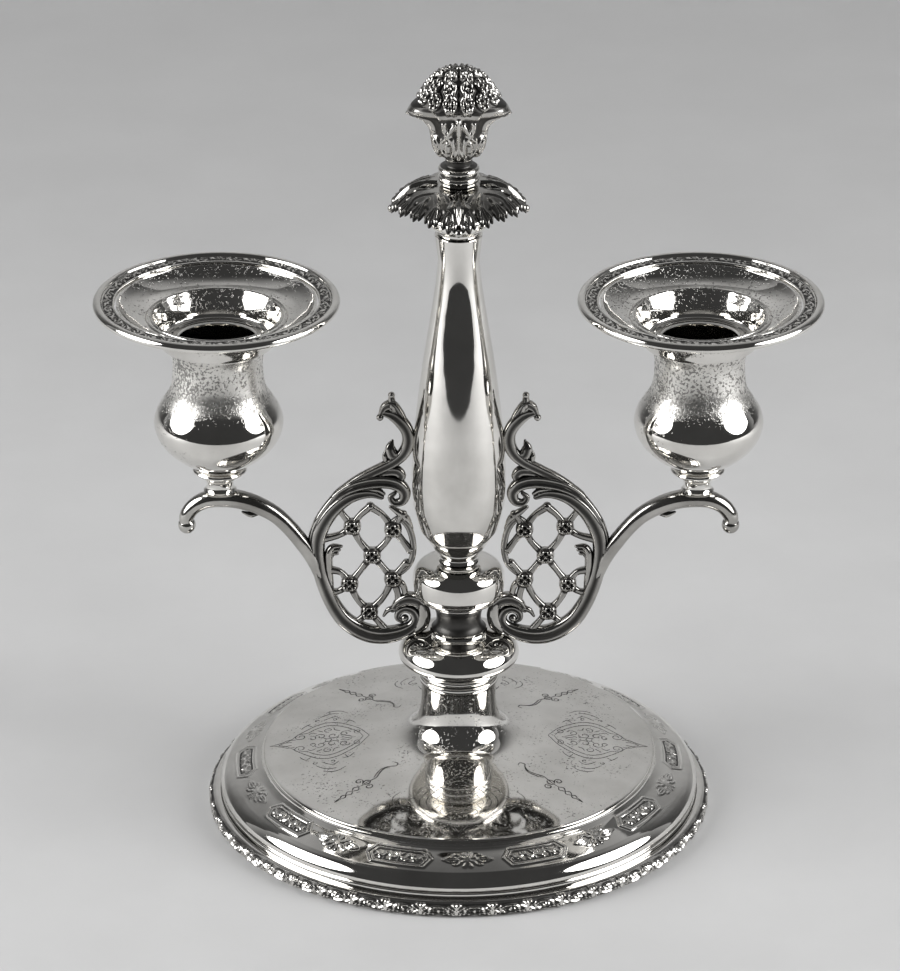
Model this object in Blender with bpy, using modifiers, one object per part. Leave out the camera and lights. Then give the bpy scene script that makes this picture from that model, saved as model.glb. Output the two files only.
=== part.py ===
"""A two-light silver candelabra, modelled as the separate pieces it is assembled from.

Metres, +Z up. The foot stands on z = 0, the column's axis is the z axis, and the arms
reach out along -X (left) and +X (right). Sheet pieces are open turned surfaces that
Solidify gives their wall; castings are solid.
"""
import math

import bmesh
import bpy
from mathutils import Vector

MM = 0.001

# Fits between pieces.
SEAM_GAP = 0.3 * MM            # between two pieces that touch
SLIP_GAP = 0.35 * MM           # round a nozzle sleeve in its cup

# Spun sheet.
SHEET = 0.8 * MM
CUP_WALL = 0.75 * MM

# Foot.
FOOT_RADIUS = 72.6 * MM
FOOT_WIRE_WIDTH = 3.0 * MM
FOOT_WIRE_HEIGHT = 4.4 * MM
WELL_HEIGHT = 16.0 * MM        # outer edge of the polished plate round the trumpet
WELL_RISE = 4.4 * MM           # of the plate, a very flat cone, from its edge to the trumpet
BORDER_WIDTH = 12.7 * MM       # from the foot wire in to the well's edge
TRUMPET_HEIGHT = 17.6 * MM
TRUMPET_RADIUS = 10.8 * MM     # at the trumpet's top
TRUMPET_FOOT_RADIUS = 22.5 * MM
FELT_THICKNESS = 0.9 * MM
PLATE_HOLE_RADIUS = 6.3 * MM    # in the cover plate, round the rod's end
COVER_THICKNESS = 1.0 * MM

# Column, from the trumpet up.
COLLAR_RADIUS = 11.5 * MM
COLLAR_HEIGHT = 6.4 * MM
LOWER_KNOP_RADIUS = 17.4 * MM
LOWER_KNOP_HEIGHT = 9.9 * MM
SPOOL_RADIUS = 7.4 * MM        # at its waist
SPOOL_HEIGHT = 8.6 * MM
BALL_RADIUS = 13.35 * MM
BALL_HEIGHT = 12.6 * MM
STEM_FOOT_HEIGHT = 4.0 * MM
STEM_RADIUS = 12.7 * MM        # at its widest
STEM_HEIGHT = 96.0 * MM
NECK_RADIUS = 8.5 * MM
NECK_HEIGHT = 7.0 * MM
CALYX_RADIUS = 19.4 * MM
CALYX_HEIGHT = 7.4 * MM
CALYX_LEAVES = 8

# Tie rod that clamps the column, with its nut and washer inside the foot.
ROD_RADIUS = 2.0 * MM
NUT_HEIGHT = 3.2 * MM
WASHER_RADIUS = 9.0 * MM
WASHER_THICKNESS = 1.2 * MM
POCKET_MARGIN = 1.0 * MM       # round the washer, in the pitch

# Finial, which screws on the top of the rod.
FINIAL_COLLAR_RADIUS = 5.8 * MM
FINIAL_COLLAR_HEIGHT = 6.2 * MM
FINIAL_WASHER_THICKNESS = 0.6 * MM
FINIAL_THREAD_LENGTH = 4.8 * MM
BUD_RADIUS = 14.0 * MM
BUD_HEIGHT = 26.4 * MM
BUD_PETALS = 6

# Arms. Their castings lie in the plane y = 0.
ARM_REACH = 67.9 * MM          # from the column's axis to a cup's axis
FRAME_RADIUS = 1.9 * MM
CREST_RADIUS = 1.5 * MM
BRANCH_RADIUS = 2.35 * MM
TIP_BALL_RADIUS = 2.6 * MM
BULB_RADIUS = 3.4 * MM
LATTICE_THICKNESS = 1.6 * MM
ROSETTE_RADIUS = 2.1 * MM
ROSETTE_THICKNESS = 3.0 * MM

# Cups and lift-out nozzles.
CANDLE_BORE = 22.2 * MM
SLEEVE_WALL = 0.5 * MM
SLEEVE_DEPTH = 26.0 * MM
CUP_HEIGHT = 38.0 * MM
CUP_BELLY_RADIUS = 18.3 * MM
PEDESTAL_HEIGHT = 7.2 * MM
PEDESTAL_WAIST = 3.85 * MM
SAUCER_RADIUS = 7.7 * MM
PAN_RADIUS = 34.7 * MM
PAN_BORDER_WIDTH = 6.1 * MM
PAN_RIM_RADIUS = 1.45 * MM
PAN_RISE = 12.5 * MM           # from the cup's mouth up to the pan's rim
CUP_SCREW_RADIUS = 1.2 * MM
CUP_SCREW_LENGTH = 13.0 * MM
CUP_SCREW_HEAD_RADIUS = 3.0 * MM

# Facets round a full turn.
STEPS_WIDE = 36
STEPS_NARROW = 20
STEPS_SMALL = 12

# Places that follow from the sizes.
ROD_BORE = ROD_RADIUS + SEAM_GAP
FELT_TOP = FELT_THICKNESS
COVER_BOTTOM = FELT_TOP + SEAM_GAP
COVER_TOP = COVER_BOTTOM + COVER_THICKNESS
TRUMPET_FOOT_HEIGHT = WELL_HEIGHT + WELL_RISE
TRUMPET_TOP = TRUMPET_FOOT_HEIGHT + TRUMPET_HEIGHT
COLLAR_BOTTOM = TRUMPET_TOP + SEAM_GAP
LOWER_KNOP_BOTTOM = COLLAR_BOTTOM + COLLAR_HEIGHT + SEAM_GAP
SPOOL_BOTTOM = LOWER_KNOP_BOTTOM + LOWER_KNOP_HEIGHT + SEAM_GAP
BALL_BOTTOM = SPOOL_BOTTOM + SPOOL_HEIGHT + SEAM_GAP
STEM_FOOT_BOTTOM = BALL_BOTTOM + BALL_HEIGHT + SEAM_GAP
STEM_BOTTOM = STEM_FOOT_BOTTOM + STEM_FOOT_HEIGHT + SEAM_GAP
NECK_BOTTOM = STEM_BOTTOM + STEM_HEIGHT + SEAM_GAP
CALYX_BOTTOM = NECK_BOTTOM + NECK_HEIGHT + SEAM_GAP
FINIAL_WASHER_BOTTOM = CALYX_BOTTOM + CALYX_HEIGHT + SEAM_GAP
FINIAL_COLLAR_BOTTOM = FINIAL_WASHER_BOTTOM + FINIAL_WASHER_THICKNESS + SEAM_GAP
BUD_BOTTOM = FINIAL_COLLAR_BOTTOM + FINIAL_COLLAR_HEIGHT + SEAM_GAP
ROD_TOP = BUD_BOTTOM + FINIAL_THREAD_LENGTH - 1.0 * MM
BUD_BORE_TOP = ROD_TOP + 1.5 * MM

SLEEVE_BORE_RADIUS = CANDLE_BORE / 2
SLEEVE_RADIUS = SLEEVE_BORE_RADIUS + SLEEVE_WALL
CUP_NECK_RADIUS = SLEEVE_RADIUS + SLIP_GAP + CUP_WALL
CUP_MOUTH_RADIUS = CUP_NECK_RADIUS + 1.6 * MM

# The arms hang from the spool, so their heights are counted from its foot.
ARM_DATUM = SPOOL_BOTTOM
BRANCH_TOP_HEIGHT = 41.0 * MM  # the branch's centre line under the cup, above the datum
PEDESTAL_BOTTOM = ARM_DATUM + BRANCH_TOP_HEIGHT + BRANCH_RADIUS + SEAM_GAP
CUP_BOTTOM = PEDESTAL_BOTTOM + PEDESTAL_HEIGHT + SEAM_GAP
CUP_TOP = CUP_BOTTOM + CUP_HEIGHT
NOZZLE_SEAT = CUP_TOP + SEAM_GAP
PAN_TOP = NOZZLE_SEAT + PAN_RISE

SIDES = {"left": -1, "right": 1}


def new_collection(name):
    collection = bpy.data.collections.new(name)
    bpy.context.scene.collection.children.link(collection)
    return collection


def make_material(name, colour, roughness, metallic):
    material = bpy.data.materials.new(name)
    material.use_nodes = True
    shader = material.node_tree.nodes["Principled BSDF"]
    shader.inputs["Base Color"].default_value = (*colour, 1.0)
    shader.inputs["Roughness"].default_value = roughness
    shader.inputs["Metallic"].default_value = metallic
    return material


def add_object(name, data, material, collection=None):
    obj = bpy.data.objects.new(name, data)
    (collection or PARTS).objects.link(obj)
    if material:
        data.materials.append(material)
    return obj


def mark_cutter(obj):
    obj.hide_render = True
    obj.display_type = "WIRE"
    return obj


def turned(name, profile, material, steps, wall=None, at_x=0.0, collection=None):
    """A profile of (radius, height) points, top to bottom down its outer side, turned round z.

    With a wall it is an open surface that Solidify thickens inwards. Without one the profile
    starts and ends on the axis, or its last point joins its first round a bore.
    """
    on_axis = profile[0][0] == 0.0 and profile[-1][0] == 0.0
    closed = wall is None and not on_axis
    mesh = bpy.data.meshes.new(name)
    count = len(profile)
    edges = [(i, i + 1) for i in range(count - 1)]
    if closed:
        edges.append((count - 1, 0))
    mesh.from_pydata([(radius, 0.0, height) for radius, height in profile], edges, [])
    obj = add_object(name, mesh, material, collection)
    obj.location.x = at_x
    screw = obj.modifiers.new("Turn", "SCREW")
    screw.axis = "Z"
    screw.steps = steps
    screw.render_steps = steps
    screw.use_merge_vertices = True
    screw.merge_threshold = 0.00001
    screw.use_smooth_shade = True
    if wall is not None:
        solidify = obj.modifiers.new("Wall", "SOLIDIFY")
        solidify.thickness = wall
        solidify.offset = -1.0
        solidify.use_even_offset = True
    return obj


def ring(name, inner, outer, bottom, top, material, steps, at_x=0.0, collection=None):
    """A flat ring with a square section."""
    profile = [(outer, top), (outer, bottom), (inner, bottom), (inner, top)]
    return turned(name, profile, material, steps, at_x=at_x, collection=collection)


def smooth_path(points, samples):
    """Points on a Catmull-Rom curve through the given points, samples to each span."""
    padded = [points[0], *points, points[-1]]
    path = []
    for before, start, end, after in zip(padded, padded[1:], padded[2:], padded[3:]):
        for step in range(samples):
            t = step / samples
            path.append(tuple(
                0.5 * (2 * b + (c - a) * t + (2 * a - 5 * b + 4 * c - d) * t ** 2
                       + (3 * b - a - 3 * c + d) * t ** 3)
                for a, b, c, d in zip(before, start, end, after)
            ))
    path.append(tuple(points[-1]))
    return path


def radius_at(profile, height):
    """The radius of a turned profile at a height."""
    ordered = sorted((z, r) for r, z in profile)
    for (low, r_low), (high, r_high) in zip(ordered, ordered[1:]):
        if low <= height <= high:
            share = (height - low) / (high - low) if high > low else 0.0
            return r_low + (r_high - r_low) * share
    return ordered[0][1] if height < ordered[0][0] else ordered[-1][1]


def tube_mesh(name, path, radius, resolution=2, end_radius=None):
    """A mesh tube with capped ends along (x, z) points in the plane y = 0, tapered evenly."""
    curve = bpy.data.curves.new(name, "CURVE")
    curve.dimensions = "3D"
    curve.bevel_depth = radius
    curve.bevel_resolution = resolution
    curve.use_fill_caps = True
    spline = curve.splines.new("POLY")
    spline.points.add(len(path) - 1)
    last = len(path) - 1
    end_share = 1.0 if end_radius is None else end_radius / radius
    for i, (x, z) in enumerate(path):
        spline.points[i].co = (x, 0.0, z, 1.0)
        spline.points[i].radius = 1.0 + (end_share - 1.0) * i / last
    source = add_object(name, curve, None, CUTTERS)
    bpy.context.view_layer.update()
    evaluated = source.evaluated_get(bpy.context.evaluated_depsgraph_get())
    mesh = bpy.data.meshes.new_from_object(evaluated)
    bpy.data.objects.remove(source)
    work = bmesh.new()
    work.from_mesh(mesh)
    bmesh.ops.remove_doubles(work, verts=work.verts, dist=0.00001)
    bmesh.ops.recalc_face_normals(work, faces=work.faces)
    work.to_mesh(mesh)
    work.free()
    return mesh


def ball_mesh(name, centre, radius, segments=10):
    mesh = bpy.data.meshes.new(name)
    work = bmesh.new()
    bmesh.ops.create_uvsphere(work, u_segments=segments, v_segments=segments // 2, radius=radius)
    bmesh.ops.translate(work, verts=work.verts, vec=centre)
    work.to_mesh(mesh)
    work.free()
    return mesh


def add_boolean(obj, other, operation):
    boolean = obj.modifiers.new(other.name, "BOOLEAN")
    boolean.operation = operation
    boolean.solver = "EXACT"
    boolean.object = other
    return boolean


def lobed(name, rings, lobes, material, segments, phase=0.0):
    """A loft through rings of (radius, height, depth of the lobes), closed on itself.

    The first and last rings join, so the rings run down the outside and back up the inside.
    """
    mesh = bpy.data.meshes.new(name)
    work = bmesh.new()
    loops = []
    for radius, height, depth in rings:
        loop = []
        for i in range(segments):
            angle = math.tau * i / segments
            lobe = abs(math.cos(lobes * (angle - phase) / 2))
            reach = radius * (1.0 - depth * (1.0 - lobe))
            loop.append(work.verts.new((reach * math.cos(angle), reach * math.sin(angle), height)))
        loops.append(loop)
    for upper, lower in zip(loops, [*loops[1:], loops[0]]):
        for i in range(segments):
            j = (i + 1) % segments
            work.faces.new((upper[i], lower[i], lower[j], upper[j]))
    bmesh.ops.recalc_face_normals(work, faces=work.faces)
    work.to_mesh(mesh)
    work.free()
    obj = add_object(name, mesh, material)
    mesh.shade_smooth()
    return obj


# ---------------------------------------------------------------- foot

def shell_lip_radius():
    """The base shell's outer radius where it stands inside the foot wire."""
    return FOOT_RADIUS - FOOT_WIRE_WIDTH - SEAM_GAP


def well_radius():
    return FOOT_RADIUS - FOOT_WIRE_WIDTH - BORDER_WIDTH - 0.6 * MM


def make_base_shell():
    lip = shell_lip_radius()
    well = well_radius()
    slope = WELL_RISE / (well - TRUMPET_FOOT_RADIUS)
    profile = [
        (TRUMPET_RADIUS, TRUMPET_TOP),
        (TRUMPET_RADIUS + 0.4 * MM, TRUMPET_TOP - 6.0 * MM),
        (TRUMPET_RADIUS + 1.5 * MM, TRUMPET_TOP - 11.0 * MM),
        (TRUMPET_RADIUS + 3.6 * MM, TRUMPET_TOP - 14.4 * MM),
        (TRUMPET_RADIUS + 6.9 * MM, TRUMPET_TOP - 16.4 * MM),
        (TRUMPET_FOOT_RADIUS, TRUMPET_FOOT_HEIGHT),
        (well - 2.0 * MM, WELL_HEIGHT + 2.0 * MM * slope),
        (well, WELL_HEIGHT - 0.1 * MM),
        (well + 0.9 * MM, WELL_HEIGHT - 1.2 * MM),
        (well + 3.0 * MM, WELL_HEIGHT - 2.4 * MM),
        (well + 8.6 * MM, WELL_HEIGHT - 4.9 * MM),
        (lip - 1.9 * MM, WELL_HEIGHT - 6.2 * MM),
        (lip - 0.3 * MM, WELL_HEIGHT - 8.2 * MM),
        (lip, WELL_HEIGHT - 10.6 * MM),
        (lip, FELT_TOP + 0.2 * MM),
    ]
    turned("base_shell", profile, SILVER, STEPS_WIDE, wall=SHEET)


def make_foot_wire():
    inner = FOOT_RADIUS - FOOT_WIRE_WIDTH
    profile = [
        (inner + 0.4 * MM, FOOT_WIRE_HEIGHT),
        (FOOT_RADIUS - 1.2 * MM, FOOT_WIRE_HEIGHT - 0.5 * MM),
        (FOOT_RADIUS - 0.2 * MM, FOOT_WIRE_HEIGHT - 1.6 * MM),
        (FOOT_RADIUS, FOOT_WIRE_HEIGHT / 2),
        (FOOT_RADIUS - 0.2 * MM, 0.6 * MM),
        (FOOT_RADIUS - 0.8 * MM, 0.0),
        (inner, 0.0),
        (inner, FOOT_WIRE_HEIGHT - 0.4 * MM),
    ]
    turned("foot_wire", profile, SILVER, STEPS_WIDE)


def make_base_fill():
    """Pitch cast inside the foot, with a pocket for the nut and a bore for the rod."""
    lip = shell_lip_radius() - SHEET - SEAM_GAP
    well = well_radius()
    drop = SHEET + SEAM_GAP
    pocket_top = COVER_TOP + SEAM_GAP + NUT_HEIGHT + WASHER_THICKNESS + 3 * SEAM_GAP
    neck = TRUMPET_RADIUS - drop - 0.4 * MM
    profile = [
        (neck, TRUMPET_TOP - 3.0 * MM),
        (neck, TRUMPET_TOP - 7.0 * MM),
        (neck + 1.0 * MM, TRUMPET_TOP - 12.0 * MM),
        (neck + 3.2 * MM, TRUMPET_TOP - 15.6 * MM),
        (neck + 6.6 * MM, TRUMPET_TOP - 17.8 * MM),
        (TRUMPET_FOOT_RADIUS, TRUMPET_FOOT_HEIGHT - drop - 0.5 * MM),
        (well - 1.2 * MM, WELL_HEIGHT - drop - 0.5 * MM),
        (well + 1.6 * MM, WELL_HEIGHT - drop - 2.8 * MM),
        (well + 8.0 * MM, WELL_HEIGHT - drop - 5.2 * MM),
        (lip - 2.2 * MM, WELL_HEIGHT - drop - 6.6 * MM),
        (lip - 0.4 * MM, WELL_HEIGHT - drop - 9.0 * MM),
        (lip - 0.4 * MM, COVER_TOP + SEAM_GAP),
        (WASHER_RADIUS + POCKET_MARGIN, COVER_TOP + SEAM_GAP),
        (WASHER_RADIUS + POCKET_MARGIN, pocket_top),
        (ROD_BORE, pocket_top),
        (ROD_BORE, TRUMPET_TOP - 3.0 * MM),
    ]
    turned("base_fill", profile, PITCH, STEPS_WIDE)
    return pocket_top


def make_base_bottom():
    radius = shell_lip_radius() - SHEET - SEAM_GAP
    ring("cover_plate", PLATE_HOLE_RADIUS, radius, COVER_BOTTOM, COVER_TOP, BRASS, STEPS_WIDE)
    felt = [(0.0, FELT_TOP), (radius, FELT_TOP), (radius, 0.0), (0.0, 0.0)]
    turned("base_felt", felt, FELT, STEPS_WIDE)


def make_tie_rod(pocket_top):
    washer_bottom = pocket_top - SEAM_GAP - WASHER_THICKNESS
    nut_bottom = washer_bottom - SEAM_GAP - NUT_HEIGHT
    rod = [(0.0, ROD_TOP), (ROD_RADIUS, ROD_TOP), (ROD_RADIUS, nut_bottom), (0.0, nut_bottom)]
    turned("tie_rod", rod, STEEL, STEPS_SMALL)
    ring("rod_washer", ROD_BORE, WASHER_RADIUS, washer_bottom, pocket_top - SEAM_GAP, STEEL,
         STEPS_SMALL)
    across = ROD_RADIUS * 2.0
    ring("rod_nut", ROD_BORE, across, nut_bottom, nut_bottom + NUT_HEIGHT, BRASS, 6)


# ---------------------------------------------------------------- column

def make_collar():
    top = COLLAR_BOTTOM + COLLAR_HEIGHT
    reed = COLLAR_HEIGHT / 3
    groove = COLLAR_RADIUS - 0.8 * MM
    profile = [(groove, top)]
    for i in range(3):
        upper = top - reed * i
        profile += [(COLLAR_RADIUS, upper - reed * 0.3), (COLLAR_RADIUS, upper - reed * 0.7),
                    (groove, upper - reed)]
    profile += [(ROD_BORE, COLLAR_BOTTOM), (ROD_BORE, top)]
    turned("reeded_collar", profile, SILVER, STEPS_NARROW)


def make_lower_knop():
    bottom, high = LOWER_KNOP_BOTTOM, LOWER_KNOP_HEIGHT
    wide = LOWER_KNOP_RADIUS
    profile = [
        (SPOOL_RADIUS + 0.9 * MM, bottom + high),
        (SPOOL_RADIUS + 2.0 * MM, bottom + high * 0.83),
        (wide * 0.60, bottom + high * 0.68),
        (wide * 0.78, bottom + high * 0.60),
        (wide * 0.95, bottom + high * 0.46),
        (wide, bottom + high * 0.32),
        (wide * 0.97, bottom + high * 0.18),
        (wide * 0.88, bottom + high * 0.07),
        (COLLAR_RADIUS - 0.5 * MM, bottom),
    ]
    turned("lower_knop", profile, SILVER, STEPS_NARROW, wall=SHEET)


def spool_profile():
    bottom, high = SPOOL_BOTTOM, SPOOL_HEIGHT
    return [
        (SPOOL_RADIUS + 1.1 * MM, bottom + high),
        (SPOOL_RADIUS + 0.8 * MM, bottom + high * 0.75),
        (SPOOL_RADIUS + 0.2 * MM, bottom + high * 0.45),
        (SPOOL_RADIUS, bottom + high * 0.2),
        (SPOOL_RADIUS + 0.7 * MM, bottom),
    ]


def make_spool():
    profile = spool_profile()
    bore = [(ROD_BORE, profile[-1][1]), (ROD_BORE, profile[0][1])]
    turned("spool", profile + bore, SILVER, STEPS_NARROW)


def make_ball_knop():
    """A hollow ball, flattened a little at its poles."""
    middle = BALL_BOTTOM + BALL_HEIGHT / 2
    half = BALL_HEIGHT / 2
    low_angle = math.asin((SPOOL_RADIUS + 1.2 * MM) / BALL_RADIUS)
    high_angle = math.asin((ROD_BORE + 3.4 * MM) / BALL_RADIUS)
    points = 9
    profile = []
    for i in range(points):
        angle = high_angle + (math.pi - low_angle - high_angle) * i / (points - 1)
        pole = math.cos(high_angle) if angle < math.pi / 2 else math.cos(low_angle)
        profile.append((BALL_RADIUS * math.sin(angle), middle + half * math.cos(angle) / pole))
    turned("ball_knop", profile, SILVER, STEPS_NARROW, wall=SHEET)


def make_stem_foot():
    bottom = STEM_FOOT_BOTTOM
    profile = [
        (5.9 * MM, bottom + STEM_FOOT_HEIGHT),
        (6.3 * MM, bottom + STEM_FOOT_HEIGHT * 0.7),
        (5.5 * MM, bottom + STEM_FOOT_HEIGHT * 0.35),
        (5.6 * MM, bottom),
        (ROD_BORE, bottom),
        (ROD_BORE, bottom + STEM_FOOT_HEIGHT),
    ]
    turned("stem_foot_ring", profile, SILVER, STEPS_NARROW)


def stem_profile():
    """The tall vase of the stem: radii as shares of its widest, at shares of its height."""
    shape = [(0.47, 1.0), (0.47, 0.993), (0.40, 0.95), (0.40, 0.885), (0.55, 0.75),
             (0.735, 0.595), (0.915, 0.40), (1.0, 0.235), (0.985, 0.16), (0.92, 0.098),
             (0.68, 0.022), (0.52, 0.006), (0.52, 0.0)]
    return [(STEM_RADIUS * r, STEM_BOTTOM + STEM_HEIGHT * z) for r, z in shape]


def make_stem():
    turned("stem_vase", stem_profile(), SILVER, STEPS_NARROW, wall=SHEET)


def make_neck_ring():
    bottom = NECK_BOTTOM
    profile = [
        (NECK_RADIUS * 0.8, bottom + NECK_HEIGHT),
        (NECK_RADIUS, bottom + NECK_HEIGHT * 0.75),
        (NECK_RADIUS, bottom + NECK_HEIGHT * 0.45),
        (NECK_RADIUS * 0.82, bottom + NECK_HEIGHT * 0.2),
        (NECK_RADIUS * 0.7, bottom),
        (ROD_BORE, bottom),
        (ROD_BORE, bottom + NECK_HEIGHT),
    ]
    turned("neck_ring", profile, SILVER, STEPS_NARROW)


def make_calyx():
    """Drooping leaves round a low dome, cast in one piece."""
    top = CALYX_BOTTOM + CALYX_HEIGHT
    rings = [
        (FINIAL_COLLAR_RADIUS, top, 0.0),
        (CALYX_RADIUS * 0.62, top - 1.0 * MM, 0.03),
        (CALYX_RADIUS * 0.88, top - 2.8 * MM, 0.08),
        (CALYX_RADIUS, top - 5.6 * MM, 0.14),
        (CALYX_RADIUS, top - 7.4 * MM, 0.16),
        (CALYX_RADIUS * 0.92, top - 6.8 * MM, 0.16),
        (CALYX_RADIUS * 0.78, top - 4.0 * MM, 0.07),
        (NECK_RADIUS * 1.1, top - 3.6 * MM, 0.0),
        (NECK_RADIUS * 0.9, CALYX_BOTTOM, 0.0),
        (ROD_BORE, CALYX_BOTTOM, 0.0),
        (ROD_BORE, top, 0.0),
    ]
    lobed("leaf_calyx", rings, CALYX_LEAVES, SILVER, 40, phase=-math.pi / 2)


# ---------------------------------------------------------------- finial

def make_finial():
    ring("finial_washer", ROD_BORE, FINIAL_COLLAR_RADIUS - 0.8 * MM, FINIAL_WASHER_BOTTOM,
         FINIAL_WASHER_BOTTOM + FINIAL_WASHER_THICKNESS, SILVER, STEPS_SMALL)
    bottom, high = FINIAL_COLLAR_BOTTOM, FINIAL_COLLAR_HEIGHT
    wide = FINIAL_COLLAR_RADIUS
    profile = [
        (wide * 0.66, bottom + high),
        (wide * 0.64, bottom + high * 0.8),
        (wide * 0.98, bottom + high * 0.66),
        (wide, bottom + high * 0.45),
        (wide * 0.86, bottom + high * 0.33),
        (wide, bottom + high * 0.2),
        (wide * 0.96, bottom),
        (ROD_BORE, bottom),
        (ROD_BORE, bottom + high),
    ]
    turned("finial_collar", profile, SILVER, STEPS_SMALL)
    base, wide, tall = BUD_BOTTOM, BUD_RADIUS, BUD_HEIGHT
    crown = base + tall
    rings = [
        (0.6 * MM, crown, 0.0),
        (wide * 0.42, crown - 1.2 * MM, 0.02),
        (wide * 0.68, crown - 4.0 * MM, 0.04),
        (wide * 0.86, crown - 8.0 * MM, 0.06),
        (wide, crown - 11.6 * MM, 0.12),
        (wide * 0.98, crown - 12.8 * MM, 0.12),
        (wide * 0.74, crown - 15.2 * MM, 0.08),
        (wide * 0.55, crown - 17.4 * MM, 0.05),
        (wide * 0.52, crown - 20.4 * MM, 0.05),
        (wide * 0.42, crown - 23.6 * MM, 0.03),
        (wide * 0.28, base, 0.0),
        (ROD_BORE, base, 0.0),
        (ROD_BORE, BUD_BORE_TOP, 0.0),
        (0.3 * MM, BUD_BORE_TOP + 0.4 * MM, 0.0),
    ]
    bud = lobed("finial_bud", rings, BUD_PETALS, SILVER, 24, phase=-math.pi / 2)
    close_axis(bud, len(rings), 24)


def close_axis(obj, ring_count, segments):
    """Fills the first and last rings of a loft, which stand open round the axis."""
    work = bmesh.new()
    work.from_mesh(obj.data)
    work.verts.ensure_lookup_table()
    first = work.verts[:segments]
    last = work.verts[(ring_count - 1) * segments:]
    between = [f for f in work.faces if all(v in first or v in last for v in f.verts)]
    bmesh.ops.delete(work, geom=between, context="FACES_ONLY")
    for loop in (first, last):
        work.faces.new(loop)
    bmesh.ops.recalc_face_normals(work, faces=work.faces)
    work.to_mesh(obj.data)
    work.free()


# ---------------------------------------------------------------- arms

def arm_points(points, side):
    """Points of (distance out, height above the arms' datum) in mm, in the plane of one arm."""
    return [(side * x * MM, ARM_DATUM + z * MM) for x, z in points]


def frame_path(side):
    """The C scroll round the lattice, from its curled upper end to its volute."""
    points = [(22.0, 41.0), (26.5, 42.2), (31.9, 40.5), (36.8, 35.8), (39.9, 29.5), (40.4, 22.0),
              (38.3, 12.6), (33.3, 3.0), (25.1, -2.1), (17.6, -1.4), (12.8, 1.4), (12.6, 5.0)]
    return smooth_path(arm_points(points, side), 2)


def crest_path(side):
    """From the C scroll up to the stem, where the crest is soldered, and out to its leaf."""
    stem = stem_profile()
    touch = (radius_at(stem, ARM_DATUM + 59.6 * MM) + SEAM_GAP + CREST_RADIUS * 1.02) / MM
    points = [(39.6, 33.0), (34.6, 41.8), (27.8, 47.2), (20.4, 51.0), (touch + 1.0, 55.0),
              (touch, 59.6), (touch + 1.4, 64.0), (18.6, 66.8), (21.2, 67.0)]
    return smooth_path(arm_points(points, side), 2)


def branch_path(side):
    """From the C scroll out under the cup to the ball at its tip."""
    reach = ARM_REACH / MM
    rise = BRANCH_TOP_HEIGHT / MM
    points = [(39.4, 13.0), (42.4, 21.0), (46.4, 28.6), (52.8, 35.0), (reach - 8.4, rise - 2.0),
              (reach, rise), (reach + 6.0, rise - 1.8), (reach + 9.4, rise - 5.6),
              (reach + 9.6, rise - 8.0)]
    return smooth_path(arm_points(points, side), 2)


def make_arm(side_name, side):
    """One casting: C scroll, crest, branch, leaf bulb and tip ball, joined by unions."""
    frame = tube_mesh(f"arm_{side_name}", frame_path(side), FRAME_RADIUS)
    arm = add_object(f"arm_{side_name}", frame, SILVER)
    branch = branch_path(side)
    tip_x, tip_z = branch[-1]
    spool_touch = SPOOL_RADIUS + 1.1 * MM + SEAM_GAP
    bulb_x, bulb_z = arm_points([(17.4, 44.0)], side)[0]
    pad = arm_points([(spool_touch / MM, 4.4), (12.6, 3.6)], side)
    extras = [
        ("crest", tube_mesh("crest", crest_path(side), CREST_RADIUS, resolution=1)),
        ("branch", tube_mesh("branch", branch, BRANCH_RADIUS)),
        ("tip_ball", ball_mesh("tip_ball", (tip_x, 0.0, tip_z), TIP_BALL_RADIUS)),
        ("bulb", ball_mesh("bulb", (bulb_x, 0.0, bulb_z), BULB_RADIUS)),
        ("bulb_stalk", tube_mesh("bulb_stalk", smooth_path(
            arm_points([(33.5, 41.0), (26.0, 46.2), (17.4, 44.0)], side), 2), CREST_RADIUS,
            resolution=1)),
        ("pad", tube_mesh("pad", pad, FRAME_RADIUS * 0.9)),
    ]
    for extra_name, mesh in extras:
        extra = mark_cutter(add_object(f"{side_name}_{extra_name}", mesh, None, CUTTERS))
        add_boolean(arm, extra, "UNION")
    hole_top = PEDESTAL_BOTTOM + SEAM_GAP
    hole_bottom = hole_top - BRANCH_RADIUS * 1.7
    hole = [(0.0, hole_top), (CUP_SCREW_RADIUS + SEAM_GAP, hole_top),
            (CUP_SCREW_RADIUS + SEAM_GAP, hole_bottom), (0.0, hole_bottom)]
    cutter = turned(f"{side_name}_screw_hole", hole, None, 12, at_x=side * ARM_REACH,
                    collection=CUTTERS)
    add_boolean(arm, mark_cutter(cutter), "DIFFERENCE")
    return hole_bottom


ROSETTES = [(30.6, 32.0), (18.9, 31.1), (24.6, 22.9), (31.4, 13.8), (18.9, 15.9), (25.8, 5.5),
            (25.0, 37.4)]

# Openings of the lattice: centre out and up, half width, half height, in mm.
LATTICE_OPENINGS = [
    (24.7, 31.4, 3.3, 5.0), (30.2, 23.0, 3.3, 5.2), (18.8, 23.7, 3.1, 4.0),
    (25.2, 14.7, 3.4, 5.0), (20.6, 7.2, 2.3, 3.8), (30.4, 8.4, 2.2, 3.0),
    (35.0, 30.8, 1.9, 3.0), (20.5, 36.7, 1.7, 1.7),
]


def superellipse(centre_x, centre_z, half_wide, half_high, count=8, power=1.4):
    """A rounded diamond."""
    outline = []
    for i in range(count):
        angle = math.tau * i / count
        c, s = math.cos(angle), math.sin(angle)
        outline.append((centre_x + half_wide * math.copysign(abs(c) ** (2 / power), c),
                        centre_z + half_high * math.copysign(abs(s) ** (2 / power), s)))
    return outline


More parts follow.
